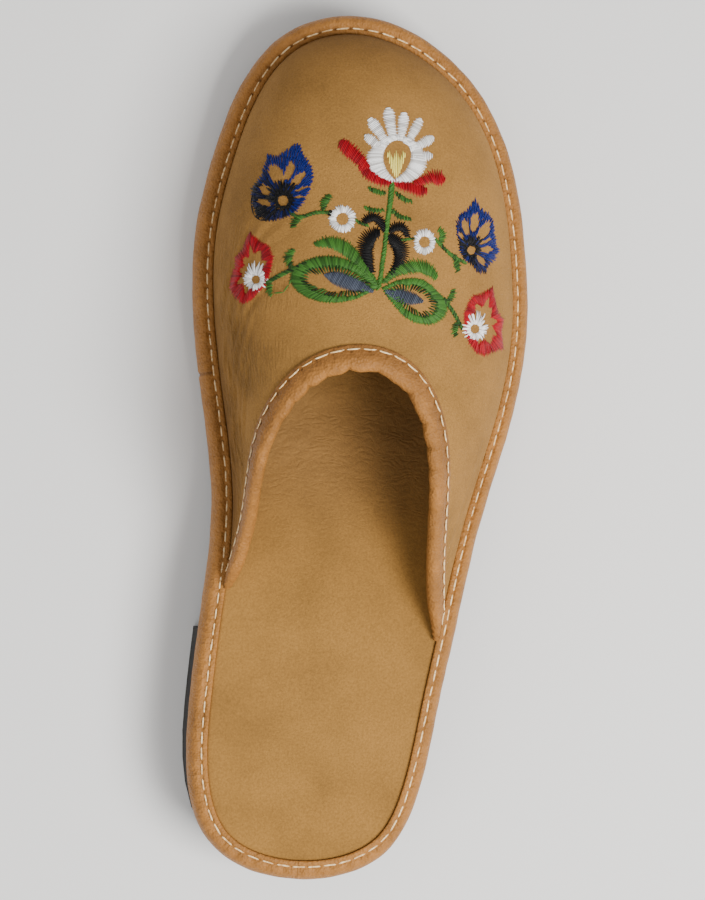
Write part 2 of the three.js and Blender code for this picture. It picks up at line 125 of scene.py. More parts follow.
# Side of the leather wrap: inset as a share of its roll, up as a share of its height
WRAP_SIDE = np.array([
    (0.36, 0), (0.12, 0.13), (0, 0.35), (0.03, 0.58), (0.17, 0.79), (0.42, 0.935), (0.72, 1), (1, 0.985),
])

# Where the photograph was taken from, above the shoe's inner side, in the shoe's millimetres; its lean;
# and its focal length in its own pixels
VIEW_EYE = (-42.0, 128.7, 800.0)
VIEW_LEAN = math.radians(3.7)
VIEW_PIXELS = 2600.0

# Embroidery chart: its root from above and the height it is drawn at, in the shoe's millimetres, and the
# size of one chart unit
CHART_ROOT = (11.3, 179.2)
CHART_HEIGHT = 60.0
CHART_UNIT = 0.2846


def cubic(knots, values):
    """Natural cubic through one value for each knot; values may have columns"""
    knots = np.asarray(knots, float)
    values = np.asarray(values, float).reshape(len(knots), -1)
    n = len(knots)
    gap = np.diff(knots)
    slope = np.diff(values, axis=0) / gap[:, None]
    matrix = np.eye(n)
    right = np.zeros_like(values)
    for i in range(1, n - 1):
        matrix[i, i - 1:i + 2] = gap[i - 1], 2 * (gap[i - 1] + gap[i]), gap[i]
        right[i] = 6 * (slope[i] - slope[i - 1])
    bend = np.linalg.solve(matrix, right)

    def evaluate(at):
        at = np.atleast_1d(np.asarray(at, float))
        i = np.clip(np.searchsorted(knots, at) - 1, 0, n - 2)
        span = gap[i][:, None]
        a = ((knots[i + 1] - at) / gap[i])[:, None]
        b = 1 - a
        straight = a * values[i] + b * values[i + 1]
        return straight + ((a**3 - a) * bend[i] + (b**3 - b) * bend[i + 1]) * span**2 / 6

    return evaluate


def running(points):
    """Running length along rows of points"""
    steps = np.linalg.norm(np.diff(points, axis=0), axis=1)
    return np.concatenate([[0.0], np.cumsum(steps)])


def evenly(points, count):
    """Evenly spaced points along a line of points"""
    lengths = running(points)
    at = np.linspace(0, lengths[-1], count)
    return np.stack([np.interp(at, lengths, points[:, c]) for c in range(points.shape[1])], 1)


def bell(at, middle, width, power=2):
    """One at the middle, falling to nothing over a width on both sides"""
    return np.exp(-((at - middle) / width)**power)


def at_holes(phase, width):
    """One at each needle hole of a seam, falling to nothing beside it"""
    return np.exp(-((phase + 0.5) % 1 - 0.5)**2 / width)


def underside(y):
    """Height of the sole's underside above the ground"""
    t = np.asarray(y, float) / LENGTH
    start = HEEL_LENGTH / LENGTH
    s = np.clip((t - start) / (SHANK_END - start), 0, 1)
    spring = np.clip((t - SPRING_START) / (1 - SPRING_START), 0, None)
    return HEEL_LIFT * (1 - s * s * (3 - 2 * s)) + TOE_SPRING * spring**2


def outline(count):
    """Closed outline from above, anticlockwise from the heel's back, with its outward directions"""
    width = HEEL_WIDTH + (BALL_WIDTH - HEEL_WIDTH) * OUTLINE[:, 3]
    y = OUTLINE[:, 0] * LENGTH
    outer = np.stack([OUTLINE[:, 2] * width, y], 1)
    inner = np.stack([-OUTLINE[:, 1] * width, y], 1)[::-1]
    corners = np.concatenate([[[0, 0]], outer, [[0, LENGTH]], inner])
    overlap = 5
    index = np.arange(-overlap, len(corners) + overlap + 1) % len(corners)
    wrapped = corners[index]
    knots = running(wrapped)
    curve = cubic(knots, wrapped)
    fine = curve(np.linspace(knots[overlap], knots[overlap + len(corners)], count * 6 + 1))
    line = evenly(fine, count + 1)[:-1]
    along = np.roll(line, -1, 0) - np.roll(line, 1, 0)
    along /= np.linalg.norm(along, axis=1)[:, None]
    return line, np.stack([along[:, 1], -along[:, 0]], 1)


def roll_at(outward):
    """How much of the wrap shows outside its stitches"""
    return WRAP_ROLL + (WRAP_ROLL_OUTER_SIDE - WRAP_ROLL) * np.clip(outward[:, 0], 0, None)**2


def frame_shift():
    """From the shoe's own origin at the heel's back to the frame's origin"""
    line, _ = outline(400)
    low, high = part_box("midsole")
    x = (low.x + high.x) / 2 / MM - (line[:, 0].min() + line[:, 0].max()) / 2
    y = low.y / MM - line[:, 1].min()
    return np.array([x, y, 0.0])


SHIFT = frame_shift()


def new_object(name, data):
    """Object for a mesh, curve, light or camera, linked into the scene"""
    made = bpy.data.objects.new(name, data)
    bpy.context.scene.collection.objects.link(made)
    return made


class Skin:
    """Vertices, faces and vertex attributes of one piece, in the shoe's millimetres"""

    def __init__(self):
        self.points = []
        self.faces = []
        self.count = 0

    def rows(self, points):
        """Adds a grid of points and returns their numbers in the same grid"""
        flat = np.asarray(points, float).reshape(-1, 3)
        numbers = np.arange(self.count, self.count + len(flat)).reshape(np.asarray(points).shape[:-1])
        self.points.append(flat)
        self.count += len(flat)
        return numbers

    def sheet(self, grid, closed=False, flip=False):
        """Faces between the rows of a grid of numbers; closed joins each row's end to its start"""
        if closed:
            grid = np.concatenate([grid, grid[:, :1]], 1)
        a, b, c, d = grid[:-1, :-1], grid[:-1, 1:], grid[1:, 1:], grid[1:, :-1]
        quads = np.stack([a, b, c, d], -1).reshape(-1, 4)
        self.faces.append(quads[:, ::-1] if flip else quads)

    def polygon(self, numbers):
        """One face round some numbers"""
        self.faces.append([list(map(int, numbers))])

    def build(self, name, attributes=None, uv=None):
        """Mesh object in metres in the frame"""
        points = (np.concatenate(self.points) + SHIFT) * MM
        faces = [list(map(int, face)) for block in self.faces for face in block]
        mesh = bpy.data.meshes.new(name)
        mesh.from_pydata(points.tolist(), [], faces)
        mesh.polygons.foreach_set("use_smooth", [True] * len(mesh.polygons))
        for key, values in (attributes or {}).items():
            layer = mesh.attributes.new(key, "FLOAT", "POINT")
            layer.data.foreach_set("value", np.asarray(values, np.float32))
        if uv is not None:
            layer = mesh.uv_layers.new(name="along")
            corner = np.zeros(len(mesh.loops), np.int32)
            mesh.loops.foreach_get("vertex_index", corner)
            layer.data.foreach_set("uv", np.asarray(uv, np.float32)[corner].ravel())
        mesh.update()
        return new_object(name, mesh)


def finish_piece(piece, material, slot, *nodes):
    """Gives a finished piece its material and its place in the frame"""
    piece.data.materials.clear()
    piece.data.materials.append(material)
    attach(piece, "root")
    if nodes:
        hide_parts(*nodes)


def lid(skin, ring, points, height, steps, facing_up):
    """Lid over a closed ring that starts at the heel and has the toe halfway round"""
    half = len(ring) // 2
    share = np.linspace(0, 1, steps + 1)[None, 1:-1, None]
    right = points[1:half][:, None]
    left = points[:half:-1][:, None]
    inside = right + (left - right) * share
    inside[..., 2] = height(inside)
    middle = skin.rows(inside)
    grid = np.concatenate([ring[1:half, None], middle, ring[:half:-1, None]], 1)
    skin.sheet(grid, flip=facing_up)
    for m in range(steps):
        near = [ring[0], grid[0, m], grid[0, m + 1]]
        far = [ring[half], grid[-1, m + 1], grid[-1, m]]
        skin.polygon(near if facing_up else near[::-1])
        skin.polygon(far if facing_up else far[::-1])


def ring_points(line, outward, inset, level):
    """Points of one ring round the sole at an inset and a level above its underside"""
    flat = line - outward * np.broadcast_to(inset, len(line))[:, None]
    return np.concatenate([flat, (underside(flat[:, 1]) + level)[:, None]], 1)


def bump_noise(points, size, seed):
    """Smooth value noise from a few sine waves, for shaping meshes"""
    random = np.random.default_rng(seed)
    total = np.zeros(points.shape[:-1])
    waves = 9
    for _ in range(waves):
        direction = random.normal(size=3)
        direction /= np.linalg.norm(direction)
        length = size * random.uniform(0.6, 1.6)
        total += np.sin(points @ direction * 2 * math.pi / length + random.uniform(0, 6.28))
    return total / waves**0.5


# The wrap: length of a stitch, how deep its seam's stitches lie, where its two ends meet, and the size
# its side profile is spaced by
STITCH_PITCH = 4.75
SEAM_STITCH_SINK = 0.42
WRAP_JOIN = 152.6
PROFILE_SIZE = np.array([WRAP_ROLL, 11.0])

# Its points round, its rows up, the row whose length its UV map takes, the UV map's step from row to
# row, and the steps across the faces that don't show
OUTLINE_FINE = 1320
WRAP_ROWS = 20
SIDE_ROW = 8
ROW_SPACING = 0.8
HIDDEN_STEPS = 3

# Stitched lip: how far in from the seam, and how far above the lip's level
LIP_ROWS = ((0.25, -0.12), (0.6, 0.08), (1.0, 0.12), (1.4, 0.08), (1.68, -0.02), (1.78, -0.22))


def seam_line():
    """Outline, outward directions, roll, stitch phase and stitch count round the wrap's seam"""
    line, outward = outline(OUTLINE_FINE)
    roll = roll_at(outward)
    stitched = line - outward * roll[:, None]
    length = running(np.concatenate([stitched, stitched[:1]]))
    count = round(length[-1] / STITCH_PITCH)
    phase = length[:-1] / length[-1] * count
    return line, outward, roll, phase, count


def wrap_profile():
    """Finer rows of the wrap's side"""
    lengths = running(WRAP_SIDE * PROFILE_SIZE)
    return cubic(lengths, WRAP_SIDE)(np.linspace(0, lengths[-1], WRAP_ROWS))


def wrap_rings():
    """Rings of the wrap from the outsole over the roll and the stitched lip to the platform"""
    line, outward, roll, phase, _ = seam_line()
    height = LIP_TOP - PLATFORM_BASE
    hole = at_holes(phase, 0.016)
    fold = 0.5 + 0.5 * np.cos(2 * math.pi * phase)
    along = np.arange(len(line)) / len(line) * 2 * math.pi
    slack = 0.05 * np.sin(along * 23 + 2 * np.sin(along * 5))
    slack += 0.035 * np.sin(along * 61 + 3 * np.sin(along * 7))
    heel = np.clip((52 - line[:, 1]) / 22, 0, 1)
    join = bell(line[:, 1], WRAP_JOIN, 0.55) * (line[:, 0] < 0)
    rings = []
    for inset, up in wrap_profile():
        near = bell(inset, 1, 0.22) if up > 0.5 else 0
        pull = bell(inset, 0.62, 0.3) if up > 0.8 else 0
        sink = 0.30 * near + near * 0.40 * hole + (0.10 + 0.34 * heel) * pull * fold
        bulge = slack - 0.5 * join if up > 0.15 else 0
        level = PLATFORM_BASE + up * height - sink
        rings.append(ring_points(line, outward, inset * roll - bulge * (1 - inset), level))
    for extra, lift in LIP_ROWS:
        dip = 0.30 * hole * bell(extra, 0, 0.45)
        rings.append(ring_points(line, outward, roll + extra, LIP_TOP + lift - dip))
    rings.append(ring_points(line, outward, roll + LIP, PLATFORM_TOP))
    return np.array(rings)


def wrap_marks(rings):
    """Painted shade on the wrap: in its needle holes and in the groove where its two ends meet"""
    _, _, _, phase, _ = seam_line()
    holes = np.zeros((len(rings), 1))
    holes[WRAP_ROWS - 1:WRAP_ROWS + 1, 0] = 0.75, 0.6
    side = rings[SIDE_ROW]
    # Painted shade in the groove where the wrap's two ends meet
    join = bell(side[:, 1], WRAP_JOIN, 0.4) * (side[:, 0] < 0) * 0.7
    outside = np.arange(len(rings))[:, None] < WRAP_ROWS - 1
    return np.maximum(holes * at_holes(phase, 0.006), join * outside)


def build_wrap():
    """Leather strip rolled round the platform, closed underneath and under the sock"""
    rings = wrap_rings()
    skin = Skin()
    grid = skin.rows(rings)
    skin.sheet(grid, closed=True)
    lid(skin, grid[0], rings[0], lambda p: underside(p[..., 1]) + PLATFORM_BASE, HIDDEN_STEPS, False)
    lid(skin, grid[-1], rings[-1], lambda p: underside(p[..., 1]) + PLATFORM_TOP, HIDDEN_STEPS, True)
    around = running(rings[SIDE_ROW])[None]
    across = np.arange(len(rings))[:, None] * ROW_SPACING
    uv = np.zeros((skin.count, 2))
    uv[:grid.size] = np.stack(np.broadcast_arrays(around, across), -1).reshape(-1, 2) * MM
    # Painted shade in the needle holes and at the join
    painted_shade = np.zeros(skin.count)
    painted_shade[:grid.size] = wrap_marks(rings).ravel()
    return skin.build("leather_wrap", {"painted_shade": painted_shade}, uv)


# Sock: points round its edge, rows of its top, and where its waves lie as a share of the length
SOCK_OUTLINE = 720
SOCK_ROWS = 150
WAVES_AT = 0.55


def sock_top(p):
    """Height of the sock's top: nearly even, waved across under the throat"""
    squeezed = np.stack([p[..., 0] * 0.45, p[..., 1], p[..., 0] * 0], -1)
    waves = bump_noise(squeezed * np.array([1.6, 1, 1]), 7, 5) * 0.10 + bump_noise(squeezed, 12, 6) * 0.08
    cushion = bump_noise(p * np.array([1, 1, 0]), 34, 7) * 0.10
    across = np.linspace(-1, 1, p.shape[1])[None]
    edge = np.clip((1 - np.abs(across)) * 8, 0, 1)
    throat = bell(p[..., 1] / LENGTH, WAVES_AT, 0.09)
    return underside(p[..., 1]) + SOCK_TOP + edge * (throat * waves + cushion)


def build_sock():
    """Leather sock with a rounded edge"""
    line, outward = outline(SOCK_OUTLINE)
    inset = roll_at(outward) + LIP + SOCK_EDGE_GAP
    skin = Skin()
    rims = [(0, SOCK_BASE), (0, SOCK_TOP - 0.5), (0.15, SOCK_TOP - 0.2), (0.45, SOCK_TOP)]
    rings = np.array([ring_points(line, outward, inset + extra, level) for extra, level in rims])
    grid = skin.rows(rings)
    skin.sheet(grid, closed=True)
    lid(skin, grid[0], rings[0], lambda p: underside(p[..., 1]) + SOCK_BASE, HIDDEN_STEPS, False)
    lid(skin, grid[-1], rings[-1], sock_top, SOCK_ROWS, True)
    y = np.concatenate(skin.points)[:, 1] / LENGTH
    pressed = bell(y, 0.52, 0.11) + 0.25 * bell(y, 0.2, 0.2)
    return skin.build("sock_lining", {"pressed": np.clip(pressed, 0, 1)})


# Creases of the vamp: share along the collar, share up the section, direction in degrees from the
# section, length, width and depth in millimetres
CREASES = [
    (0.650, 0.50, 94, 34, 1.6, 0.20), (0.670, 0.42, 90, 40, 1.5, 0.24), (0.690, 0.56, 88, 34, 1.3, 0.24),
    (0.700, 0.34, 86, 46, 1.5, 0.34), (0.715, 0.41, 84, 50, 1.4, 0.34), (0.725, 0.48, 82, 46, 1.3, 0.36),
    (0.735, 0.55, 80, 42, 1.2, 0.34), (0.748, 0.62, 78, 34, 1.2, 0.32), (0.765, 0.69, 76, 26, 1.1, 0.30),
    (0.775, 0.44, 82, 46, 1.4, 0.38), (0.790, 0.36, 86, 50, 1.6, 0.40), (0.800, 0.54, 78, 36, 1.2, 0.36),
    (0.815, 0.63, 74, 28, 1.1, 0.32), (0.830, 0.46, 80, 40, 1.3, 0.36), (0.845, 0.30, 84, 46, 1.6, 0.36),
    (0.860, 0.55, 78, 30, 1.2, 0.34), (0.880, 0.42, 80, 30, 1.3, 0.34), (0.895, 0.60, 76, 20, 1.1, 0.30),
    (0.640, 0.66, 100, 24, 1.4, 0.16), (0.620, 0.40, 98, 30, 1.8, 0.16), (0.150, 0.45, -76, 30, 2.0, 0.20),
    (0.175, 0.30, -72, 34, 2.2, 0.18), (0.120, 0.55, -80, 24, 1.6, 0.18), (0.205, 0.40, -78, 26, 1.8, 0.14),
]


def seam_curve():
    """The seam that the vamp stands on, by its share from the outer collar end to the inner one"""
    line, outward = outline(480)
    foot = line - outward * (roll_at(outward) + LIP + GAP)[:, None]
    half = len(foot) // 2
    ends = COLLAR[0, 0] * LENGTH, COLLAR[-1, 0] * LENGTH
    outer = foot[:half][foot[:half, 1] > ends[0]]
    inner = foot[half:][foot[half:, 1] > ends[1]]
    kept = np.concatenate([outer, inner])
    lengths = running(kept)
    curve = cubic(lengths, kept)
    return lambda share: curve(np.clip(share, 0, 1) * lengths[-1])


def end_taper(collar):
    """One along the collar, falling to nothing where its two ends go down into the seam"""
    run = running(collar)
    near = np.clip(np.minimum(run / OUTER_TAPER, (run[-1] - run) / INNER_TAPER), 0, 1)
    return near**0.8 * (1.6 - 0.6 * near)


def narrowed(taper):
    """Share of its full thickness that the wall or the strip keeps near the collar's ends"""
    return END_TAPER_WIDTH + (1 - END_TAPER_WIDTH) * taper


# Steps in which the collar's curve and a section of the vamp are measured
COLLAR_STEPS = 1600
SECTION_STEPS = 160


def vamp_grid(columns, rows):
    """Outer face of the vamp, from the seam up to the collar edge"""
    seam = seam_curve()
    y = COLLAR[:, 0] * LENGTH
    edge = np.stack([COLLAR[:, 1] * BALL_WIDTH, y, underside(y) + SOCK_TOP + COLLAR[:, 2] * THROAT_RISE], 1)
    knots = running(edge)
    curve = cubic(knots, np.concatenate([edge, COLLAR[:, 3:]], 1))
    steps = np.linspace(0, knots[-1], COLLAR_STEPS)
    fine = curve(steps)
    collar_run = running(fine[:, :3])
    seam_run = running(seam(fine[:, 3]))
    mean = (collar_run / collar_run[-1] + seam_run / seam_run[-1]) / 2
    values = curve(np.interp(np.linspace(0, 1, columns), mean, steps))
    low = seam(values[:, 3])
    low = np.concatenate([low, (underside(low[:, 1]) + SOCK_TOP + GAP)[:, None]], 1)
    high = values[:, :3]
    grid = []
    run = np.linspace(0, 1, SECTION_STEPS)**2
    taper = end_taper(high)
    high = low + (high - low) * (END_HEIGHT + (1 - END_HEIGHT) * taper)[:, None]
    for k in range(columns):
        swell, sharp = values[k, 4], values[k, 5]
        rise = swell * np.sqrt(1 - (1 - run)**sharp) + (1 - swell) * run
        section = low[k] + (high[k] - low[k]) * run[:, None]
        section[:, 2] = low[k, 2] + (high[k, 2] - low[k, 2]) * rise
        grid.append(evenly(section, rows))
    return np.array(grid)


def grid_normals(grid):
    """Directions straight out of a grid's surface"""
    along = np.gradient(grid, axis=0)
    up = np.gradient(grid, axis=1)
    normal = np.cross(along, up)
    return normal / np.linalg.norm(normal, axis=-1, keepdims=True)


# A crease stays on its own side of the vamp: how far it reaches through it, in millimetres
CREASE_REACH = 14


def crease_depth(grid, normals):
    """Depth of the listed creases over a grid"""
    depth = np.zeros(grid.shape[:2])
    columns, rows = grid.shape[:2]
    for share, up, angle, length, width, deep in CREASES:
        i = int(share * (columns - 1))
        j = int(up * (rows - 1))
        centre = grid[i, j]
        rise = grid[i, min(j + 2, rows - 1)] - grid[i, j - 2]
        rise /= np.linalg.norm(rise)
        side = np.cross(rise, normals[i, j])
        turn = math.radians(angle)
        direction = rise * math.cos(turn) + side * math.sin(turn)
        offset = grid - centre
        along = offset @ direction
        bow = np.sin(along / length * 5 + share * 40) * width * 0.35
        across = offset @ np.cross(direction, normals[i, j]) + bow
        fade = bell(along, 0, length / 2, 4) * (np.abs(offset @ normals[i, j]) < CREASE_REACH)
        ridge = bell(across, width * 1.7, width)
        depth += deep * fade * (ridge * 0.7 - bell(across, 0, width))
    return depth


# How finely the vamp is divided outside, every how many of those columns and rows its lining has, the
# columns near its ends that stay smooth, and the length in millimetres that its UV map gives its seam
VAMP_COLUMNS = 561
VAMP_ROWS = 151
LINING_COLUMN = 2
LINING_ROW = 5
SMOOTH_COLUMNS = 60
VAMP_AROUND = 330


def vamp_surface():
    """Finished outer face of the vamp with its creases"""
    grid = vamp_grid(VAMP_COLUMNS, VAMP_ROWS)
    normals = grid_normals(grid)
    up = np.linspace(0, 1, VAMP_ROWS)[None]
    column = np.arange(VAMP_COLUMNS)[:, None]
    ends = np.clip(np.minimum(column, column[::-1]) / SMOOTH_COLUMNS, 0, 1)
    hold = np.clip(up * 9, 0, 1) * np.clip((1 - up) * 7, 0, 1) * ends
    soft = bump_noise(grid, 38, 3) * 0.10 + bump_noise(grid, 15, 4) * 0.035
    return grid + normals * ((crease_depth(grid, normals) + soft) * hold)[..., None]


def close_edges(skin, outer, inner):
    """Faces along the four edges between a fine outer grid and a coarser lining"""
    for row in (0, -1):
        for k in range(inner.shape[0] - 1):
            start = k * LINING_COLUMN
            face = [*outer[start:start + LINING_COLUMN + 1, row][::-1], inner[k, row], inner[k + 1, row]]
            skin.polygon(face if row == 0 else face[::-1])
    for column in (0, -1):
        for k in range(inner.shape[1] - 1):
            start = k * LINING_ROW
            face = [*outer[column, start:start + LINING_ROW + 1], inner[column, k + 1], inner[column, k]]
            skin.polygon(face if column == 0 else face[::-1])


def vamp_marks(skin, outer_size):
    """Where the vamp is lining, where it has painted shade and where it is wrinkled, as one value from 0 to 1
    for each point
    """
    share, up = np.meshgrid(np.linspace(0, 1, VAMP_COLUMNS), np.linspace(0, 1, VAMP_ROWS), indexing="ij")
    # Painted shade: darker at the vamp's foot by the seam and on the inner wall, where less light falls
    shade_mask = 0.45 * np.clip(1 - up / 0.06, 0, 1)
    shade_mask += bell(share, 0.88, 0.17) * np.clip(1 - up / 0.75, 0, 1)**0.7
    bent = bell(share, 0.77, 0.10) * np.clip((1 - up) * 3, 0, 1) + 0.35 * bell(share, 0.12, 0.07)
    # Painted shade on the toe's front, which faces away from the light
    toe = 0.55 * np.clip((np.concatenate(skin.points)[:, 1] / LENGTH - 0.86) / 0.12, 0, 1)**1.5
    toe[:outer_size] += shade_mask.ravel()
    inside = np.ones(skin.count)
    inside[:outer_size] = 0
    wrinkled = np.zeros(skin.count)
    wrinkled[:outer_size] = bent.ravel()
    return {"inside": inside, "painted_vamp_shade": np.clip(toe, 0, 1), "wrinkled": np.clip(wrinkled, 0, 1)}


def build_vamp():
    """Vamp with its creased outer face, a plainer lining and the edges between them"""
    grid = vamp_surface()
    skin = Skin()
    outer = skin.rows(grid)
    base = vamp_grid(VAMP_COLUMNS, VAMP_ROWS)[::LINING_COLUMN, ::LINING_ROW]
    wall = VAMP_WALL * narrowed(end_taper(base[:, -1]))
    lining = base - grid_normals(base) * wall[:, None, None]
    lining[:, 0, 2] = base[:, 0, 2]
    inner = skin.rows(lining)
    skin.sheet(outer, flip=True)
    skin.sheet(inner)
    close_edges(skin, outer, inner)
    around = np.linspace(0, VAMP_AROUND, VAMP_COLUMNS)[:, None]
    section = np.linalg.norm(np.diff(grid, axis=1), axis=-1)
    height = np.concatenate([np.zeros((VAMP_COLUMNS, 1)), np.cumsum(section, 1)], 1)
    uv = np.zeros((skin.count, 2))
    uv[:outer.size] = np.stack(np.broadcast_arrays(around, height), -1).reshape(-1, 2) * MM
    return skin.build("vamp", vamp_marks(skin, outer.size), uv)


# Collar strip: how finely it is divided, and how deep and how long the gathers at its two ends are
COLLAR_COLUMNS = 760
COLLAR_ROWS = 90
GATHER_DEPTH = 0.28
GATHER_LENGTH = 2.1

# Its stitches: their length, how deep they lie, their share of the flap, and the columns at each end
# that have none
COLLAR_PITCH = 4.6
COLLAR_STITCH_SINK = 0.28
STITCH_SHARE = 0.745
BARE_COLUMNS = 22

# Rows of the strip's outer side from its lower edge up to the vamp's: their share of the flap, lift,
# dip at the stitches, and, for the first of them, painted shade in the needle holes and on the flap's lower
# band
FLAP_SHARES = np.array([1, 0.97, 0.85, 0.7, 0.5, 0.3, 0.15, 0])
FLAP_LIFTS = np.array([-0.75, -0.3, -0.12, -0.2, 0, 0.12, 0.12, 0])
FLAP_DIPS = np.array([0, 0.1, 0.3, 0.5, 0.1, 0, 0, 0])
FLAP_HOLES = np.array([0, 0, 0.3, 0.7, 0.2, 0, 0])
FLAP_SHADE = np.array([0.2, 0.24, 0.26, 0.26, 0.22, 0.14, 0.06])


def crown_of(share):
    """One along the middle of the collar, falling to nothing towards its ends"""
    return bell(share, 0.5, 0.33, 4)


def flap_length(section_length, taper):
    """How far the strip reaches down a section of the vamp"""
    return np.clip(section_length - 1.2 - 0.7 * taper, 0.3, BINDING_FLAP)


def down_section(section, taper, share):
    """Points at shares of the flap's length down from a section's upper end"""
    run = running(section)
    at = run[-1] - flap_length(run[-1], taper) * share
    return np.stack([np.interp(at, run, section[:, c]) for c in range(3)], -1)


def collar_crest(share):
    """Height of the fold above the collar's edge, gathered into small pleats along the middle"""
    pleats = np.abs(np.sin(share * math.pi * 23 + 1.2 * np.sin(share * 21)))**0.7
    ripple = np.sin(share * 2 * math.pi * 41 + 2 * np.sin(share * 31)) * 0.5
    return BINDING_CREST + crown_of(share) * (0.95 * (pleats - 0.5) + 0.2 * ripple)


def strip_ring(section, normal, taper, crest, hole, gather):
    """Cross-section of the strip: up outside, over the collar's edge, down inside, and back up and
    down along the wall"""
    thin = narrowed(taper)
    down = down_section(section, taper, FLAP_SHARES)
    rise = down[-1] - down[-3]
    rise /= np.linalg.norm(rise)
    wall = VAMP_WALL * thin
    near = BINDING_NEAR * thin
    far = (BINDING_NEAR + BINDING_THICKNESS) * thin + gather
    dip = FLAP_DIPS * (0.5 + 0.6 * hole)
    outside = down + normal * (far + (FLAP_LIFTS - dip) * thin)[:, None]
    angles = np.linspace(0, math.pi, 9)[1:-1]
    fold = down[-1] + normal * (np.cos(angles) * (far + wall / 2) - wall / 2)[:, None]
    fold = fold + rise * (np.sin(angles) * crest * thin)[:, None]
    inside = (down - normal * (wall + far))[::-1]
    under = down - normal * (wall + near)
    cover = (down + normal * near)[::-1]
    return np.concatenate([outside, fold, inside, under, cover])


def build_binding():
    """Leather strip folded over the collar edge, gathered into small pleats"""
    grid = vamp_grid(COLLAR_COLUMNS, COLLAR_ROWS)
    length = running(grid[:, -1])
    share = length / length[-1]
    phase = share * round(length[-1] / COLLAR_PITCH)
    taper = end_taper(grid[:, -1])
    gather = (1 - taper) * GATHER_DEPTH * np.sin(length * 2 * math.pi / GATHER_LENGTH)
    normals = grid_normals(grid)[:, -1]
    each = zip(grid, normals, taper, collar_crest(share), at_holes(phase, 0.02), gather)
    rings = np.array([strip_ring(*values) for values in each])
    skin = Skin()
    numbers = skin.rows(rings)
    skin.sheet(numbers, closed=True, flip=True)
    skin.polygon(numbers[0][::-1])
    skin.polygon(numbers[-1])
    across = np.arange(rings.shape[1])[None] * ROW_SPACING
    uv = np.stack(np.broadcast_arrays(length[:, None], across), -1).reshape(-1, 2) * MM
    # Painted shade in the needle holes
    holes = at_holes(phase, 0.006)[:, None] * FLAP_HOLES
    # Painted shade on the flap's lower band, strongest in the middle of the collar
    flap_shade = (0.45 + 0.55 * crown_of(share))[:, None] * FLAP_SHADE
    painted_shade = np.zeros(rings.shape[:2])
    painted_shade[:, :len(FLAP_SHADE)] = np.maximum(holes, flap_shade)
    return skin.build("collar_strip", {"painted_shade": painted_shade.ravel()}, uv)


def collar_stitch_path():
    """Where the collar's stitches lie, with the surface's outward directions"""
    grid = vamp_grid(COLLAR_COLUMNS, COLLAR_ROWS)
    normals = grid_normals(grid)[:, -1]
    taper = end_taper(grid[:, -1])
    lift = (BINDING_NEAR + BINDING_THICKNESS - COLLAR_STITCH_SINK) * narrowed(taper)
    line = np.array([down_section(*values, STITCH_SHARE) for values in zip(grid, taper)])
    sewn = slice(BARE_COLUMNS, -BARE_COLUMNS)
    return (line + normals * lift[:, None])[sewn], normals[sewn]


def seam_stitch_path():
    """Where the wrap's stitches lie, with the directions up from them and their count"""
    line, outward, roll, _, count = seam_line()
    points = ring_points(line, outward, roll, LIP_TOP - SEAM_STITCH_SINK)
    return points, np.broadcast_to(np.array([0, 0, 1.0]), points.shape), count


def add(tree, kind, links=None, stops=(), **settings):
    """Adds a node with its settings; links gives each input a value or the output it comes from, and
    stops gives a colour ramp its places and sRGB codes"""
    node = tree.nodes.new(kind)
    for key, value in settings.items():
        setattr(node, key, value)
    for key, value in (links or {}).items():
        if isinstance(value, bpy.types.NodeSocket):
            tree.links.new(value, node.inputs[key])
        else:
            node.inputs[key].default_value = value
    for k, (place, code) in enumerate(stops):
        element = node.color_ramp.elements[k] if k < 2 else node.color_ramp.elements.new(place)
        element.position = place
        element.color = colour(code) if isinstance(code, str) else code
    return node


def colour(code):
    """Linear colour of an sRGB hex code"""
    parts = [int(code[i:i + 2], 16) / 255 for i in (1, 3, 5)]
    return tuple([c / 12.92 if c <= 0.04045 else ((c + 0.055) / 1.055)**2.4 for c in parts] + [1.0])


def material(name, roughness, specular, sheen=0.0):
    """New material; returns it with its tree, its shader and the piece's own coordinates"""
    made = bpy.data.materials.new(name)
    made.use_nodes = True
    tree = made.node_tree
    shader = tree.nodes["Principled BSDF"]
    shader.inputs["Roughness"].default_value = roughness
    shader.inputs["Specular IOR Level"].default_value = specular
    shader.inputs["Sheen Weight"].default_value = sheen
    return made, tree, shader, add(tree, "ShaderNodeTexCoord")


def shades(tone, places, low=0.79, high=1.14):
    """Darker, even and lighter stops of a leather's tone at the three places of a ramp"""
    parts = np.array(tone)
    return [(place, (*parts * share, 1.0)) for place, share in zip(places, (low, 1.0, high))]


def per_mm(size):
    """Noise scale for blobs of a size in millimetres"""
    return 1 / (size * MM)


def nubuck_tone(tree, where, stops, nap_mm):
    """Cloudy tone of sanded leather and the height of its nap"""
    clouds = add(tree, "ShaderNodeTexNoise",
                 {"Vector": where, "Scale": per_mm(24), "Detail": 4.0, "Roughness": 0.6})
    base = add(tree, "ShaderNodeValToRGB", {"Fac": clouds.outputs["Fac"]}, stops)
    nap = add(tree, "ShaderNodeTexNoise",
              {"Vector": where, "Scale": per_mm(nap_mm), "Detail": 5.0, "Roughness": 0.7})
    speckle = add(tree, "ShaderNodeValToRGB",
                  {"Fac": nap.outputs["Fac"]}, [(0.3, "#828282"), (0.68, "#ffffff")])
    tone = add(tree, "ShaderNodeMix",
               {"Factor": 0.46, "A": base.outputs["Color"], "B": speckle.outputs["Color"]},
               data_type="RGBA", blend_type="MULTIPLY")
    pores = add(tree, "ShaderNodeTexNoise", {"Vector": where, "Scale": per_mm(nap_mm * 0.55), "Detail": 3.0})
    height = add(tree, "ShaderNodeMath", {0: nap.outputs["Fac"], 1: pores.outputs["Fac"]}, operation="ADD")
    return tone.outputs["Result"], height.outputs[0]


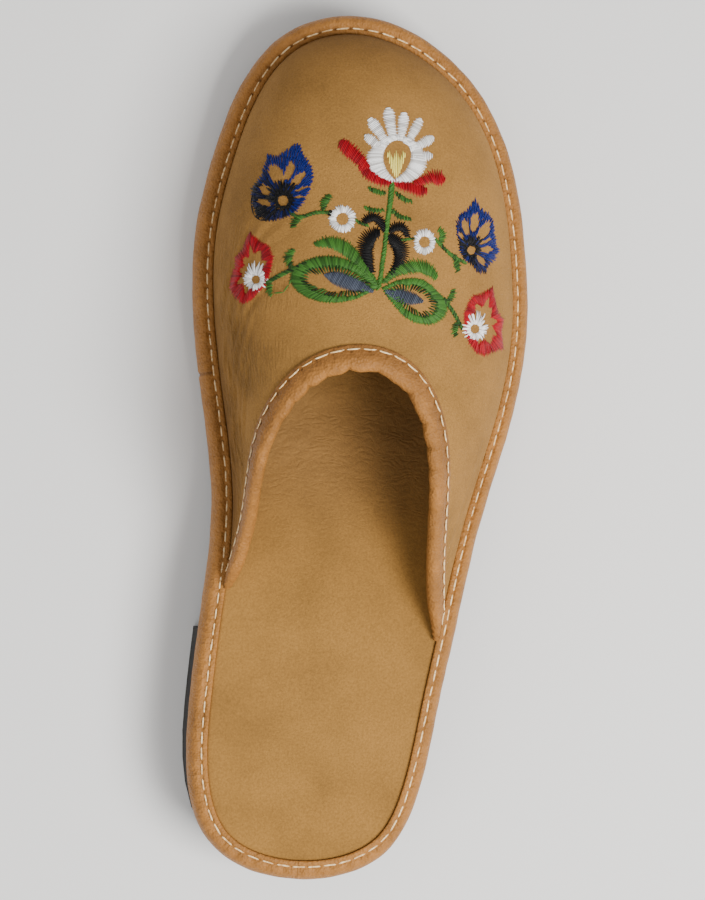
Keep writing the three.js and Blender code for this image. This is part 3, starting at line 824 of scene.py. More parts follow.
def vamp_nubuck(tone):
    """Nubuck, cowhide sanded on the grain side and oiled: matt, cloudy and finely napped, with painted shade
    at the seam foot, along the inner wall and on the toe's front, and fine creases where the foot bends it"""
    made, tree, shader, place = material("sanded_vamp_nubuck", 0.9, 0.08, 0.02)
    where = place.outputs["Object"]
    tone, height = nubuck_tone(tree, where, shades(tone, (0.28, 0.5, 0.72)), 0.6)
    # Painted shade: darkens the tone towards a greyer brown at the seam foot, the inner wall and the toe's
    # front
    shade_mask = add(tree, "ShaderNodeAttribute", attribute_name="painted_vamp_shade").outputs["Fac"]
    deep = add(tree, "ShaderNodeMix",
               {"Factor": 0.8, "A": tone, "B": colour("#84705a")}, data_type="RGBA", blend_type="MULTIPLY")
    tone = add(tree, "ShaderNodeMix",
               {"Factor": shade_mask, "A": tone, "B": deep.outputs["Result"]}, data_type="RGBA").outputs["Result"]
    inner = add(tree, "ShaderNodeAttribute", attribute_name="inside").outputs["Fac"]
    tone = add(tree, "ShaderNodeMix",
               {"Factor": inner, "A": tone, "B": colour("#8d673f")}, data_type="RGBA").outputs["Result"]
    tree.links.new(tone, shader.inputs["Base Color"])
    drawn = add(tree, "ShaderNodeMapping", {"Vector": place.outputs["UV"], "Scale": (0.2, 1.0, 1.0)})
    lines = add(tree, "ShaderNodeTexNoise", {"Vector": drawn.outputs[0], "Scale": per_mm(1.9), "Detail": 4.0,
                                            "Roughness": 0.6})
    folds = add(tree, "ShaderNodeMapRange",
                {"Value": lines.outputs["Fac"], "From Min": 0.4, "From Max": 0.58, "To Max": 6.0})
    patches = add(tree, "ShaderNodeTexNoise", {"Vector": where, "Scale": per_mm(16), "Detail": 2.0})
    patches = add(tree, "ShaderNodeMapRange",
                  {"Value": patches.outputs["Fac"], "From Min": 0.36, "From Max": 0.56})
    mask = add(tree, "ShaderNodeAttribute", attribute_name="wrinkled").outputs["Fac"]
    mask = add(tree, "ShaderNodeMath", {0: mask, 1: patches.outputs[0]}, operation="MULTIPLY")
    height = add(tree, "ShaderNodeMath", {0: folds.outputs[0], 1: mask.outputs[0], 2: height},
                 operation="MULTIPLY_ADD")
    bump = add(tree, "ShaderNodeBump", {"Height": height.outputs[0], "Strength": 0.8, "Distance": 0.00025})
    tree.links.new(bump.outputs[0], shader.inputs["Normal"])
    return made


def sock_nubuck(tone):
    """Nubuck sock, sanded and pressed by the foot: cloudy on the heel seat, with a net of fine
    wrinkles pressed into it under the throat"""
    made, tree, shader, place = material("pressed_sock_nubuck", 0.9, 0.08, 0.02)
    where = place.outputs["Object"]
    tone, height = nubuck_tone(tree, where, shades(tone, (0.28, 0.5, 0.72)), 0.7)
    sway = add(tree, "ShaderNodeTexNoise", {"Vector": where, "Scale": per_mm(7), "Detail": 2.0})
    shift = add(tree, "ShaderNodeVectorMath",
                {0: sway.outputs["Color"], 1: (0.006, 0.006, 0.0)}, operation="MULTIPLY")
    moved = add(tree, "ShaderNodeVectorMath", {0: where, 1: shift.outputs[0]}, operation="ADD")
    drawn = add(tree, "ShaderNodeMapping", {"Vector": moved.outputs[0], "Scale": (0.42, 1.0, 0.5)})
    cells = add(tree, "ShaderNodeTexVoronoi", {"Vector": drawn.outputs[0], "Scale": per_mm(1.9)},
                feature="DISTANCE_TO_EDGE")
    net = add(tree, "ShaderNodeMapRange",
              {"Value": cells.outputs["Distance"], "From Max": 0.3, "To Max": 1.15})
    pressed = add(tree, "ShaderNodeAttribute", attribute_name="pressed").outputs["Fac"]
    height = add(tree, "ShaderNodeMath", {0: net.outputs[0], 1: pressed, 2: height}, operation="MULTIPLY_ADD")
    # Darker under the throat and faintly on the heel seat
    darkened = add(tree, "ShaderNodeMath", {0: pressed, 1: 0.35}, operation="MULTIPLY")
    tone = add(tree, "ShaderNodeMix",
               {"Factor": darkened.outputs[0], "A": tone, "B": colour("#8a6a4a")}, data_type="RGBA")
    tree.links.new(tone.outputs["Result"], shader.inputs["Base Color"])
    bump = add(tree, "ShaderNodeBump", {"Height": height.outputs[0], "Strength": 0.55, "Distance": 0.0002})
    tree.links.new(bump.outputs[0], shader.inputs["Normal"])
    return made


def drummed_tone(tree, where, stops):
    """Cloudy tone of drum-dyed leather with darker pores, and the height of the pores"""
    clouds = add(tree, "ShaderNodeTexNoise",
                 {"Vector": where, "Scale": per_mm(13), "Detail": 4.0, "Roughness": 0.62})
    base = add(tree, "ShaderNodeValToRGB", {"Fac": clouds.outputs["Fac"]}, stops)
    fine = add(tree, "ShaderNodeTexNoise",
               {"Vector": where, "Scale": per_mm(1.4), "Detail": 4.0, "Roughness": 0.65})
    speckle = add(tree, "ShaderNodeValToRGB",
                  {"Fac": fine.outputs["Fac"]}, [(0.3, "#969696"), (0.68, "#ffffff")])
    tone = add(tree, "ShaderNodeMix",
               {"Factor": 0.32, "A": base.outputs["Color"], "B": speckle.outputs["Color"]},
               data_type="RGBA", blend_type="MULTIPLY")
    return tone.outputs["Result"], fine.outputs["Fac"]


def drummed_leather(name, stops, wrinkles):
    """Drum-dyed cowhide with its grain left on: a soft sheen, pebbly pores, painted shade from its mask in
    needle holes, at the wrap's join and on the strip's lower band, and short cross wrinkles with painted
    shade along them where it is pulled round a curve"""
    made, tree, shader, place = material(name, 0.5, 0.18)
    where = place.outputs["Object"]
    tone, pores = drummed_tone(tree, where, stops)
    drawn = add(tree, "ShaderNodeMapping", {"Vector": place.outputs["UV"], "Scale": (1.0, 0.16, 1.0)})
    lines = add(tree, "ShaderNodeTexNoise",
                {"Vector": drawn.outputs[0], "Scale": per_mm(1.15), "Detail": 2.0})
    # Painted shade along the wrinkle lines
    shade = add(tree, "ShaderNodeValToRGB",
                {"Fac": lines.outputs["Fac"]}, [(0.34, "#8a5c3c"), (0.5, "#ffffff")])
    tone = add(tree, "ShaderNodeMix",
               {"Factor": 0.22 * wrinkles, "A": tone, "B": shade.outputs["Color"]},
               data_type="RGBA", blend_type="MULTIPLY")
    # Painted shade in the needle holes, at the wrap's join and on the collar strip's lower band
    painted_shade = add(tree, "ShaderNodeAttribute", attribute_name="painted_shade").outputs["Fac"]
    tone = add(tree, "ShaderNodeMix",
               {"Factor": painted_shade, "A": tone.outputs["Result"], "B": colour("#3a2010")}, data_type="RGBA")
    tree.links.new(tone.outputs["Result"], shader.inputs["Base Color"])
    grain = add(tree, "ShaderNodeTexVoronoi", {"Vector": where, "Scale": per_mm(0.8)})
    height = add(tree, "ShaderNodeMath",
                 {0: lines.outputs["Fac"], 1: 2.2 * wrinkles, 2: grain.outputs["Distance"]},
                 operation="MULTIPLY_ADD")
    height = add(tree, "ShaderNodeMath", {0: pores, 1: 1.2, 2: height.outputs[0]},
                 operation="MULTIPLY_ADD")
    bump = add(tree, "ShaderNodeBump", {"Height": height.outputs[0], "Strength": 0.85, "Distance": 0.0003})
    tree.links.new(bump.outputs[0], shader.inputs["Normal"])
    return made


def black_rubber():
    """Moulded rubber sheet: matt black with a faint bloom of dust and a fine moulded grain"""
    made, tree, shader, place = material("moulded_black_rubber", 0.62, 0.3)
    where = place.outputs["Object"]
    bloom = add(tree, "ShaderNodeTexNoise",
                {"Vector": where, "Scale": per_mm(9), "Detail": 5.0, "Roughness": 0.65})
    tone = add(tree, "ShaderNodeValToRGB",
               {"Fac": bloom.outputs["Fac"]}, [(0.35, "#131211"), (0.75, "#252320")])
    tree.links.new(tone.outputs["Color"], shader.inputs["Base Color"])
    grit = add(tree, "ShaderNodeTexNoise", {"Vector": where, "Scale": per_mm(0.7), "Detail": 2.0})
    bump = add(tree, "ShaderNodeBump", {"Height": grit.outputs["Fac"], "Strength": 0.25, "Distance": 0.0002})
    tree.links.new(bump.outputs[0], shader.inputs["Normal"])
    return made


def waxed_thread():
    """Waxed polyester thread, twisted: a cream tone with painted shade in noise patches standing for the
    hollows between the turns
    """
    made, tree, shader, place = material("waxed_cream_thread", 0.5, 0.3)
    turns = add(tree, "ShaderNodeTexNoise",
                {"Vector": place.outputs["Object"], "Scale": per_mm(0.9), "Detail": 2.0})
    # Painted shade: darker cream in the noise patches
    tone = add(tree, "ShaderNodeValToRGB",
               {"Fac": turns.outputs["Fac"]}, [(0.3, "#cf9f62"), (0.62, "#ffe4b2")])
    tree.links.new(tone.outputs["Color"], shader.inputs["Base Color"])
    return made


def rayon(name, tone, dark):
    """Rayon embroidery floss: shiny filaments laid side by side, so each stitch catches the light
    by itself and the gaps between stitches stay darker"""
    made, tree, shader, place = material(name, 0.5, 0.22)
    lit = add(tree, "ShaderNodeAttribute", attribute_name="tone").outputs["Fac"]
    shade = add(tree, "ShaderNodeValToRGB", {"Fac": lit}, [(0.0, dark), (0.75, (*tone, 1.0))])
    tree.links.new(shade.outputs["Color"], shader.inputs["Base Color"])
    hairs = add(tree, "ShaderNodeTexNoise",
                {"Vector": place.outputs["Object"], "Scale": per_mm(0.25), "Detail": 2.0})
    bump = add(tree, "ShaderNodeBump", {"Height": hairs.outputs["Fac"], "Strength": 0.3, "Distance": 0.0001})
    tree.links.new(bump.outputs[0], shader.inputs["Normal"])
    return made


def painted_floor(tone):
    """Painted board: matt, pale and even, with a trace of roller texture"""
    made, tree, shader, place = material("painted_floor", 0.9, 0.2)
    shader.inputs["Base Color"].default_value = (*tone, 1.0)
    grit = add(tree, "ShaderNodeTexNoise",
               {"Vector": place.outputs["Object"], "Scale": per_mm(2), "Detail": 2.0})
    bump = add(tree, "ShaderNodeBump", {"Height": grit.outputs["Fac"], "Strength": 0.05, "Distance": 0.0002})
    tree.links.new(bump.outputs[0], shader.inputs["Normal"])
    return made


# Sockets of the stitch tree
STITCH_SOCKETS = (
    ("Path", "INPUT", "Geometry"), ("Count", "INPUT", "Int"), ("Size", "INPUT", "Float"),
    ("Wander", "INPUT", "Float"), ("Stitches", "OUTPUT", "Geometry"),
)


def stitch_tree(name, bead, finish):
    """Geometry Nodes: one stitch on each point of a path, turned along it, then made real"""
    tree = bpy.data.node_groups.new(name, "GeometryNodeTree")
    for socket, side, kind in STITCH_SOCKETS:
        tree.interface.new_socket(socket, in_out=side, socket_type="NodeSocket" + kind)
    given = add(tree, "NodeGroupInput")
    result = add(tree, "NodeGroupOutput")
    spaced = add(tree, "GeometryNodeCurveToPoints",
                 {"Curve": given.outputs["Path"], "Count": given.outputs["Count"]})
    shape = add(tree, "GeometryNodeObjectInfo", {"Object": bead})
    sway = add(tree, "FunctionNodeRandomValue", {"Min": 0.9, "Max": 1.1, "Seed": 3}, data_type="FLOAT")
    wander = given.outputs["Wander"]
    back = add(tree, "ShaderNodeMath", {0: 0.0, 1: wander}, operation="SUBTRACT")
    turn = add(tree, "FunctionNodeRandomValue", {"Min": back.outputs[0], "Max": wander, "Seed": 8},
               data_type="FLOAT")
    angle = add(tree, "ShaderNodeCombineXYZ", {"Y": turn.outputs["Value"]})
    turned = add(tree, "FunctionNodeRotateRotation",
                 {"Rotation": spaced.outputs["Rotation"], "Rotate By": angle.outputs[0]},
                 rotation_space="LOCAL")
    size = add(tree, "ShaderNodeMath",
               {0: sway.outputs["Value"], 1: given.outputs["Size"]}, operation="MULTIPLY")
    placed = add(tree, "GeometryNodeInstanceOnPoints", {
        "Points": spaced.outputs["Points"], "Instance": shape.outputs["Geometry"],
        "Rotation": turned.outputs[0], "Scale": size.outputs[0],
    })
    real = add(tree, "GeometryNodeRealizeInstances", {"Geometry": placed.outputs[0]})
    painted = add(tree, "GeometryNodeSetMaterial", {"Geometry": real.outputs[0], "Material": finish})
    tree.links.new(painted.outputs[0], result.inputs["Stitches"])
    return tree


def bead_mesh(name, length, width, height, dive):
    """One stitch: a thread that rises from its needle hole, lies flat and dives into the next"""
    skin = Skin()
    share = np.linspace(-1, 1, 9)
    sides = np.linspace(0, 2 * math.pi, 8, endpoint=False)
    rings = []
    for s in share:
        thick = math.sqrt(max(0.02, 1 - abs(s)**5))
        centre = np.array([0, -dive * abs(s)**3.2, s * length / 2])
        ring = np.stack([np.cos(sides) * width / 2 * thick, np.sin(sides) * height / 2 * thick, sides * 0], 1)
        rings.append(centre + ring)
    grid = skin.rows(np.array(rings) - SHIFT)
    skin.sheet(grid, closed=True)
    skin.polygon(grid[0][::-1])
    skin.polygon(grid[-1])
    return skin.build(name)


def stitches(name, points, normals, count, closed, bead, finish, wander):
    """Runs the stitch tree along a path in millimetres and returns the result as a plain mesh piece"""
    data = bpy.data.curves.new(name + "_path", "CURVE")
    data.dimensions = "3D"
    spline = data.splines.new("POLY")
    spline.points.add(len(points) - 1)
    place = (points + SHIFT) * MM
    spline.points.foreach_set("co", np.concatenate([place, np.ones((len(place), 1))], 1).ravel())
    spline.use_cyclic_u = closed
    data.twist_mode = "Z_UP"
    path = new_object(name + "_path", data)
    if not closed:
        spline.points.foreach_set("tilt", path_tilt(place, normals))
    tree = stitch_tree(name + "_tree", bead, finish)
    modifier = path.modifiers.new("Stitches", "NODES")
    modifier.node_group = tree
    sockets = {item.name: item.identifier for item in tree.interface.items_tree}
    modifier[sockets["Count"]] = count + (1 if closed else 0)
    modifier[sockets["Size"]] = 1.0
    modifier[sockets["Wander"]] = wander
    depsgraph = bpy.context.evaluated_depsgraph_get()
    mesh = bpy.data.meshes.new_from_object(path.evaluated_get(depsgraph))
    path.modifiers.clear()
    piece = new_object(name, mesh)
    bpy.data.objects.remove(path)
    mesh.polygons.foreach_set("use_smooth", [True] * len(mesh.polygons))
    return piece


def path_tilt(points, normals):
    """Turn about the path that brings a Z-up curve's normal to the surface's own"""
    along = np.gradient(points, axis=0)
    along /= np.linalg.norm(along, axis=1)[:, None]
    up = np.array([0, 0, 1.0])
    flat = np.cross(along, up)
    flat /= np.maximum(np.linalg.norm(flat, axis=1)[:, None], 1e-6)
    raised = np.cross(flat, along)
    side = normals - along * np.sum(normals * along, 1)[:, None]
    side /= np.linalg.norm(side, axis=1)[:, None]
    return np.arctan2(np.sum(side * flat, 1), np.sum(side * raised, 1))


# Embroidery. Every chart below is in chart units: x to the outer side, y to the toe, from the root
# where the big leaves meet. Columns are (x, y, half width) along the middle of a satin column.
PETALS_WHITE = [
    [(3, 145, 4), (-4, 150.5, 4.8), (-10, 155.5, 5.2), (-13, 157.6, 4.4), (-15.5, 159.5, 2)],
    [(7, 151, 4), (0, 161.5, 5), (-6, 170, 6.2), (-8.6, 173.5, 5.2), (-10.8, 176.5, 2.6)],
    [(13.5, 155, 4.2), (11, 168, 5.4), (9, 180, 6.4), (8.5, 184.5, 5.4), (8.2, 187.5, 3)],
    [(20.5, 155, 4), (22.5, 166, 4.8), (24, 175, 6), (24.3, 179, 5.4), (24.5, 182.5, 2.8)],
    [(27, 151, 4), (33, 161.5, 4.6), (38, 170.5, 5.4), (39.7, 174, 4.6), (41, 177, 2.4)],
    [(31, 146, 3.8), (41, 150.5, 4.4), (48, 154.5, 5.6), (51.5, 156.5, 4.8), (54, 158.5, 2.4)],
    [(34, 138, 3.6), (42, 138.5, 4.2), (48, 139, 4.8), (51, 139.2, 4), (53, 139.5, 2)],
]
PETAL_SLIMMER = 0.86
CROWN_HOLE = [
    (14, 115), (8, 122), (4, 130), (3, 139), (5.5, 147), (11, 153), (17.5, 155), (24, 153.5), (30, 148),
    (32, 140), (30, 131), (24, 122), (15, 115),
]
CROWN_EDGE = [
    (13, 111), (-2, 116), (-12, 125), (-14, 136), (-8, 147), (3, 156), (17, 159.5), (31, 156), (42, 146),
    (47, 132), (41, 119), (30, 112), (15, 111),
]
TULIP_MIDDLE = 16.4
TULIP_HALF = 8.8
TULIP_FOOT = 116
TULIP_PRONGS = 138
SEPALS = [
    [(-41.5, 152.5, 2.6), (-39, 150, 5.2), (-34, 146, 6.6), (-25, 138.5, 6.2), (-18, 131, 4.5),
     (-12, 126, 3)],
    [(-21, 128, 3), (-12, 120.5, 5.2), (-3, 115, 4.6), (6, 111.6, 3.6), (14, 111.5, 2)],
    [(14, 111.5, 2), (26, 108, 4.4), (36, 105.5, 5.8), (44, 103.5, 4.6), (47.5, 102.5, 2)],
    [(36, 110, 3.6), (48, 115.5, 5), (57, 117.5, 7), (62, 116, 6.2), (66, 114, 2.6)],
]
MAIN_STEM = [(12, 110, 4), (10, 88, 3.5), (7.6, 72, 3), (5, 48, 2.6), (1.6, 24, 2.5), (-1, 3, 2.5)]
LEAFLETS = [
    [(-12, 106, 0.8), (-5, 102.2, 2.2), (5, 100.5, 1.4)],
    [(-16, 86, 0.8), (-8, 82.6, 2), (3, 83, 1.2)],
    [(16, 101, 1.2), (24, 94.5, 2.2), (32, 92, 1)],
    [(12, 83, 1.2), (20, 76.5, 2.2), (31, 74, 1)],
    [(-58, 83, 2), (-57.5, 91, 4), (-52, 98, 2.2)],
    [(-83, 76, 2), (-88, 71, 3.8), (-90, 65, 2)],
    [(62, 49, 2), (64.5, 57, 3.2), (61, 64, 2.2)],
    [(76, 36, 2), (79, 29, 3.2), (80.5, 21, 1.8)],
    [(-91, 24, 2.5), (-95, 33, 4.2), (-90, 42, 2.4)],
    [(-114, 6, 2), (-114.5, 0, 3), (-112, -5, 1.6)],
    [(70, -11, 2), (74, -5, 3.2), (75, 1, 1.8)],
    [(79, -33, 2), (77, -39, 3), (77.6, -46, 1.8)],
]
THIN_STEMS = [
    [(-53, 80, 2.2), (-70, 79, 2.2), (-84, 75.5, 2.4), (-93, 80, 2)],
    [(57, 53, 2), (70, 40, 2.4), (80, 33, 2.4), (88, 29, 1.6)],
    [(-76, 28, 2.6), (-96, 19, 2.8), (-118, 7, 2.4)],
    [(66, -9, 2.4), (76, -23, 2.6), (84, -38, 2)],
    [(-25, 72, 1.6), (-19, 69, 1.8), (-13, 67, 1.4)],
    [(22, 52, 1.4), (28, 53, 1.8), (34, 54, 1.4)],
]
HOOKS_BLACK = [
    [(-17, 70, 2.5), (-13, 75, 4), (-6, 76, 4), (1, 69, 4), (7, 61, 3)],
    [(-1, 60, 3.5), (-9, 57, 7.4), (-15.5, 48, 8.4), (-15, 38, 7), (-12, 28, 5), (-9, 19, 2.4)],
    [(9, 61, 3), (15, 66, 4), (23, 65.5, 4), (27.5, 56, 2.6)],
    [(9, 56, 4), (18.5, 49, 7.6), (21.5, 37, 7.2), (17.5, 26, 5.2), (11.5, 17, 2.2)],
]
CRESCENT_LEAVES = [
    [(-67, 47, 1.6), (-57, 49, 5), (-45, 48, 6.8), (-34, 42, 7), (-24, 32, 5.6), (-14, 20, 3.2),
     (-4, 8, 1.6)],
    [(3, 8, 1.6), (12, 16, 3.6), (24, 22.5, 6.2), (36, 25.5, 7), (48, 23.5, 6.6), (58, 14, 2.6)],
]
# Big leaves: edge and inner edge
BIG_LEAVES = [
    ([(-1, 4), (-18, 22), (-38, 33), (-58, 35.5), (-76, 31), (-89, 22), (-93, 14), (-86, 0), (-70, -9),
      (-50, -12), (-30, -9.5), (-14, -3), (-1, 4)],
     [(-12, 7), (-20, 12), (-36, 20), (-56, 22), (-70, 20), (-77, 16), (-77, 10), (-72, 4), (-60, -1),
      (-48, -4), (-32, -4), (-18, 0), (-12, 7)]),
    ([(2, 3), (14, 9), (30, 13), (46, 10.5), (58, 0), (69, -14), (68, -23), (57, -33), (40, -33.5), (26, -27),
      (14, -14), (6, -4), (2, 3)],
     [(10, 1), (18, 4), (30, 4), (42, 2), (50, -6), (56, -16), (54, -21), (49, -24), (40, -24), (30, -19),
      (19, -10), (12, -3), (10, 1)]),
]
SPINDLES = [
    [(-57, 16, 1.4), (-50, 14.5, 5.6), (-37, 10, 8.4), (-22, 5, 7), (-8, -1, 1.4)],
    [(5, 0, 1.4), (13, -3.5, 6.2), (23.5, -6, 8), (34, -8.5, 6.6), (43, -11, 2)],
]
# Pansies: edge, eye, hole radius, black ring radius, and bare petals as x, y, half across, half along
# and lean in degrees; then how far out their rows of threads go, and how far apart they are
PANSIES = [
    ([(-83, 150), (-79, 138), (-71.5, 128), (-69.5, 116), (-73, 102), (-80, 90), (-88, 80), (-100, 74),
      (-116, 71), (-126, 75), (-131, 88), (-132, 104), (-123, 115), (-118, 130), (-116.5, 139), (-106, 137.5),
      (-97, 143), (-90, 148)],
     (-100, 92), 5.2, 11.5,
     [(-107.5, 119.5, 7.6, 10, 20), (-94, 122, 4.4, 10.5, -18), (-84.5, 114, 4.4, 10.5, -42),
      (-80.5, 104, 1.8, 7.5, -68), (-118, 103, 4.8, 6.4, 55), (-119.5, 90, 3.4, 8, 70),
      (-83, 96, 1.4, 6, -84), (-100, 111, 1.6, 6, 4)]),
    ([(97.6, 96), (103, 86), (112, 80), (117, 70), (118, 56), (122.5, 42), (118, 32), (112, 26), (108.5, 19),
      (102, 18.5), (94, 26), (87, 34), (82, 44), (79, 60), (78.5, 72), (84, 80), (92, 86)],
     (94, 42), 4.3, 9,
     [(88, 66, 3.4, 8.5, 14), (97.5, 70.5, 3.8, 10.5, -6), (107, 62, 5.4, 11, -28), (109, 43, 4, 7, -84),
      (104, 31.5, 3, 6.5, -138), (84.5, 55, 1.8, 7, 35), (109, 51.5, 1.8, 7, -62), (101.5, 60, 1.6, 6, -18)]),
]
PANSY_REACH = 72
PANSY_ROW = 9.0

# Red flowers: edge, middle of the rim, eye, hole radius and how far the white rays reach
RED_FLOWERS = [
    ([(-134, 59.5), (-126, 52), (-115, 46), (-110.2, 34), (-113, 20), (-118, 6), (-126, -2), (-133, -10),
      (-141, -14.5), (-148, -9), (-154.5, 0), (-153, 14), (-149, 24), (-149, 34), (-141, 42), (-138, 52)],
     (-131, 20), (-128, 11), 4.4, 13.5),
    ([(116, 4.5), (119, -12), (122, -22), (127.5, -30), (125, -42), (127.5, -60), (118, -62.5), (108, -67.5),
      (100, -64.5), (92, -54), (87.5, -40), (86.5, -24), (91, -12), (96, -4.5), (106, -1.5)],
     (107, -31), (98, -39), 4.8, 13.5),
]

# Small white flowers: eye, half across, half along and hole radius
RING_FLOWERS = [((-39, 73.6), 14.5, 14.5, 6.4), ((45.6, 50.4), 11.8, 14, 5.8)]
LOOSE_BLACK = [(-131, 100), (-133, 88), (-130, 77), (-124, 72), (-116, 72)]
LOOSE_GREEN = [(-110, -3), (-100, -2), (-94, 6), (-91, 12)]
KNOT_BLACK = (-51.5, 79.5)
KNOT_RADIUS = 3.2

# Threads: points along each, rise at their middle in millimetres, points along a smoothed chart line,
# and the length from which a fringe is laid over its band
THREAD_POINTS = 5
THREAD_RISE = 0.34
LINE_POINTS = 400
LONG_FRINGE = 3


class Threads:
    """Straight satin stitches in chart units, kept as pairs of ends with a rise in millimetres"""

    def __init__(self, pitch, seed):
        self.pitch = pitch
        self.random = np.random.default_rng(seed)
        self.start = []
        self.end = []
        self.rise = []
        self.tone = []

    def lay(self, start, end, rise=THREAD_RISE, tone=0.6):
        """Adds threads from their starts to their ends"""
        start = np.asarray(start, float)
        self.start.append(start)
        self.end.append(np.asarray(end, float))
        self.rise.append(np.full(len(start), rise) * self.random.uniform(0.7, 1.2, len(start)))
        self.tone.append(np.clip(tone + self.random.uniform(-0.35, 0.35, len(start)), 0, 1))

    def column(self, rows, slant=0.0, tooth=0.9, rise=THREAD_RISE, tone=0.6):
        """Satin column along its middle line, its threads turned by a slant in degrees"""
        rows = np.asarray(rows, float)
        knots = running(rows[:, :2])
        curve = cubic(knots, rows)
        count = max(3, int(knots[-1] / self.pitch))
        at = np.linspace(0, knots[-1], count)
        middle = curve(at)
        along = np.gradient(middle[:, :2], axis=0)
        along /= np.linalg.norm(along, axis=1)[:, None]
        turn = math.radians(90 + slant)
        side = np.stack([along[:, 0] * math.cos(turn) - along[:, 1] * math.sin(turn),
                         along[:, 0] * math.sin(turn) + along[:, 1] * math.cos(turn)], 1)
        reach = np.maximum(middle[:, 2], 0.6)[:, None]
        teeth = self.random.uniform(0, tooth, (2, count, 1)) + (np.arange(count) % 2)[None, :, None] * tooth
        middle = middle[:, :2]
        self.lay(middle - side * (reach + teeth[0]), middle + side * (reach + teeth[1]), rise, tone)

    def band(self, outer, inner, fringe=2.0, skew=0.0, curved=True, eye=None):
        """Threads from an outer closed line to an inner one, every third one longer. A long fringe is
        laid over them in a darker tone. Threads stop before an eye, given as its centre and radius."""
        outer = smoothed(outer, curved)
        inner = smoothed(inner, curved)
        count = int(running(outer)[-1] / self.pitch)
        far = evenly(outer, count)
        near = evenly(inner, count)
        near = np.roll(near[:-1], int(skew * count), 0)
        near = np.concatenate([near, near[:1]])
        inward = near - far
        inward /= np.maximum(np.linalg.norm(inward, axis=1)[:, None], 0.5)
        third = np.arange(count) % 3 == 0
        longer = np.where(third, 1.0, 0.15)[:, None] * self.random.uniform(0.5, 1, (count, 1))
        out = self.random.uniform(0, 1.1, (count, 1)) + (np.arange(count) % 2)[:, None] * 0.8
        start = far - inward * out
        if fringe > LONG_FRINGE:
            self.lay(start, near - inward * self.random.uniform(0, 2.5, (count, 1)))
            middle = far + (near - far) * 0.55
            tip = near + inward * (longer - 0.25) * fringe
            self.lay(middle[third], tip[third], THREAD_RISE * 1.25, 0.18)
            return
        end = near + inward * longer * fringe
        if eye is not None:
            end = cut_short(start, end, *eye)
        self.lay(start, end)

    def directions(self, count, unrest):
        """Directions all round, each a little off in radians"""
        even = np.linspace(0, 2 * math.pi, count, endpoint=False)
        angle = even + self.random.uniform(-unrest, unrest, count)
        return np.stack([np.cos(angle), np.sin(angle)], 1)

    def ring(self, centre, across, along, hole, tooth=1.5, rise=THREAD_RISE):
        """Threads that stand round an eye"""
        count = int(2 * math.pi * (across + along) / 2 / (self.pitch * 1.15))
        out = self.directions(count, 0.04)
        reach = np.array([across, along]) + self.random.uniform(-tooth, 0.6, (count, 1))
        near = hole + self.random.uniform(-0.5, 0.5, (count, 1))
        self.lay(np.asarray(centre) + out * near, np.asarray(centre) + out * reach, rise)

    def rays(self, centre, angles, lengths, spread, hole):
        """Bundles of threads like the rays of an eye"""
        for angle, length in zip(angles, lengths):
            turn = np.radians(angle + self.random.uniform(-spread, spread, 4))
            out = np.stack([np.cos(turn), np.sin(turn)], 1)
            reach = length * self.random.uniform(0.72, 1.0, (4, 1))
            self.lay(np.asarray(centre) + out * hole, np.asarray(centre) + out * reach, THREAD_RISE * 1.2)

    def pansy(self, border, eye, start, bare):
        """Rows of long and short threads that fan out from an eye, left out over the bare petals"""
        edge = smoothed(border + border[:1])
        eye = np.asarray(eye, float)
        share = np.linspace(0, 1, 15)
        for row in np.arange(start, PANSY_REACH, PANSY_ROW):
            count = int(2 * math.pi * (row + PANSY_ROW * 0.75) / self.pitch)
            out = self.directions(count, 0.01)
            near = row + self.random.uniform(-2.4, 0.5, count)
            far = row + PANSY_ROW + self.random.uniform(-0.5, 2.4, count)
            radius = near[:, None] + (far - near)[:, None] * share
            spots = eye + out[:, None] * radius[..., None]
            ragged = self.random.uniform(0.72, 1.3, (count, 1))
            kept = inside(edge, spots) & ~covered(bare, spots, ragged)
            for k in np.flatnonzero(kept.sum(1) >= 4):
                self.fan_thread(k, spots[k], out[k], longest_run(kept[k]), eye)

    def fan_thread(self, k, spots, out, run, eye):
        """One thread of a fan along the kept run of its spots, lighter to the outer side and the toe"""
        first, last = run
        if last - first < 3:
            return
        tooth = self.random.uniform(0, 1.2) + (k % 2) * 1.5
        start = spots[first] - out * self.random.uniform(0, 1.8)
        side, up = spots[last] - eye
        self.lay([start], [spots[last] + out * tooth], THREAD_RISE, 0.38 + 0.014 * side + 0.010 * up)


def smoothed(points, curved=False):
    """A chart line with many points, straight between its own or curved through them"""
    points = np.asarray(points, float)
    knots = running(points)
    at = np.linspace(0, knots[-1], LINE_POINTS)
    if curved:
        return cubic(knots, points)(at)
    return np.stack([np.interp(at, knots, points[:, c]) for c in (0, 1)], 1)


def cut_short(start, end, eye, radius):
    """Ends of threads that stop where they would run into an eye"""
    share = np.linspace(0, 1, 24)
    spots = start[:, None] + (end - start)[:, None] * share[None, :, None]
    hit = np.linalg.norm(spots - np.asarray(eye), axis=-1) < radius
    last = np.where(hit.any(1), np.maximum(hit.argmax(1) - 1, 2), len(share) - 1)
    return spots[np.arange(len(start)), last]


def inside(edge, spots):
    """Whether spots lie inside a closed line"""
    x, y = spots[..., 0], spots[..., 1]
    odd = np.zeros(x.shape, bool)
    for a, b in zip(edge, np.roll(edge, -1, 0)):
        if a[1] == b[1]:
            continue
        crosses = (a[1] > y) != (b[1] > y)
        odd ^= crosses & (x < (b[0] - a[0]) * (y - a[1]) / (b[1] - a[1]) + a[0])
    return odd


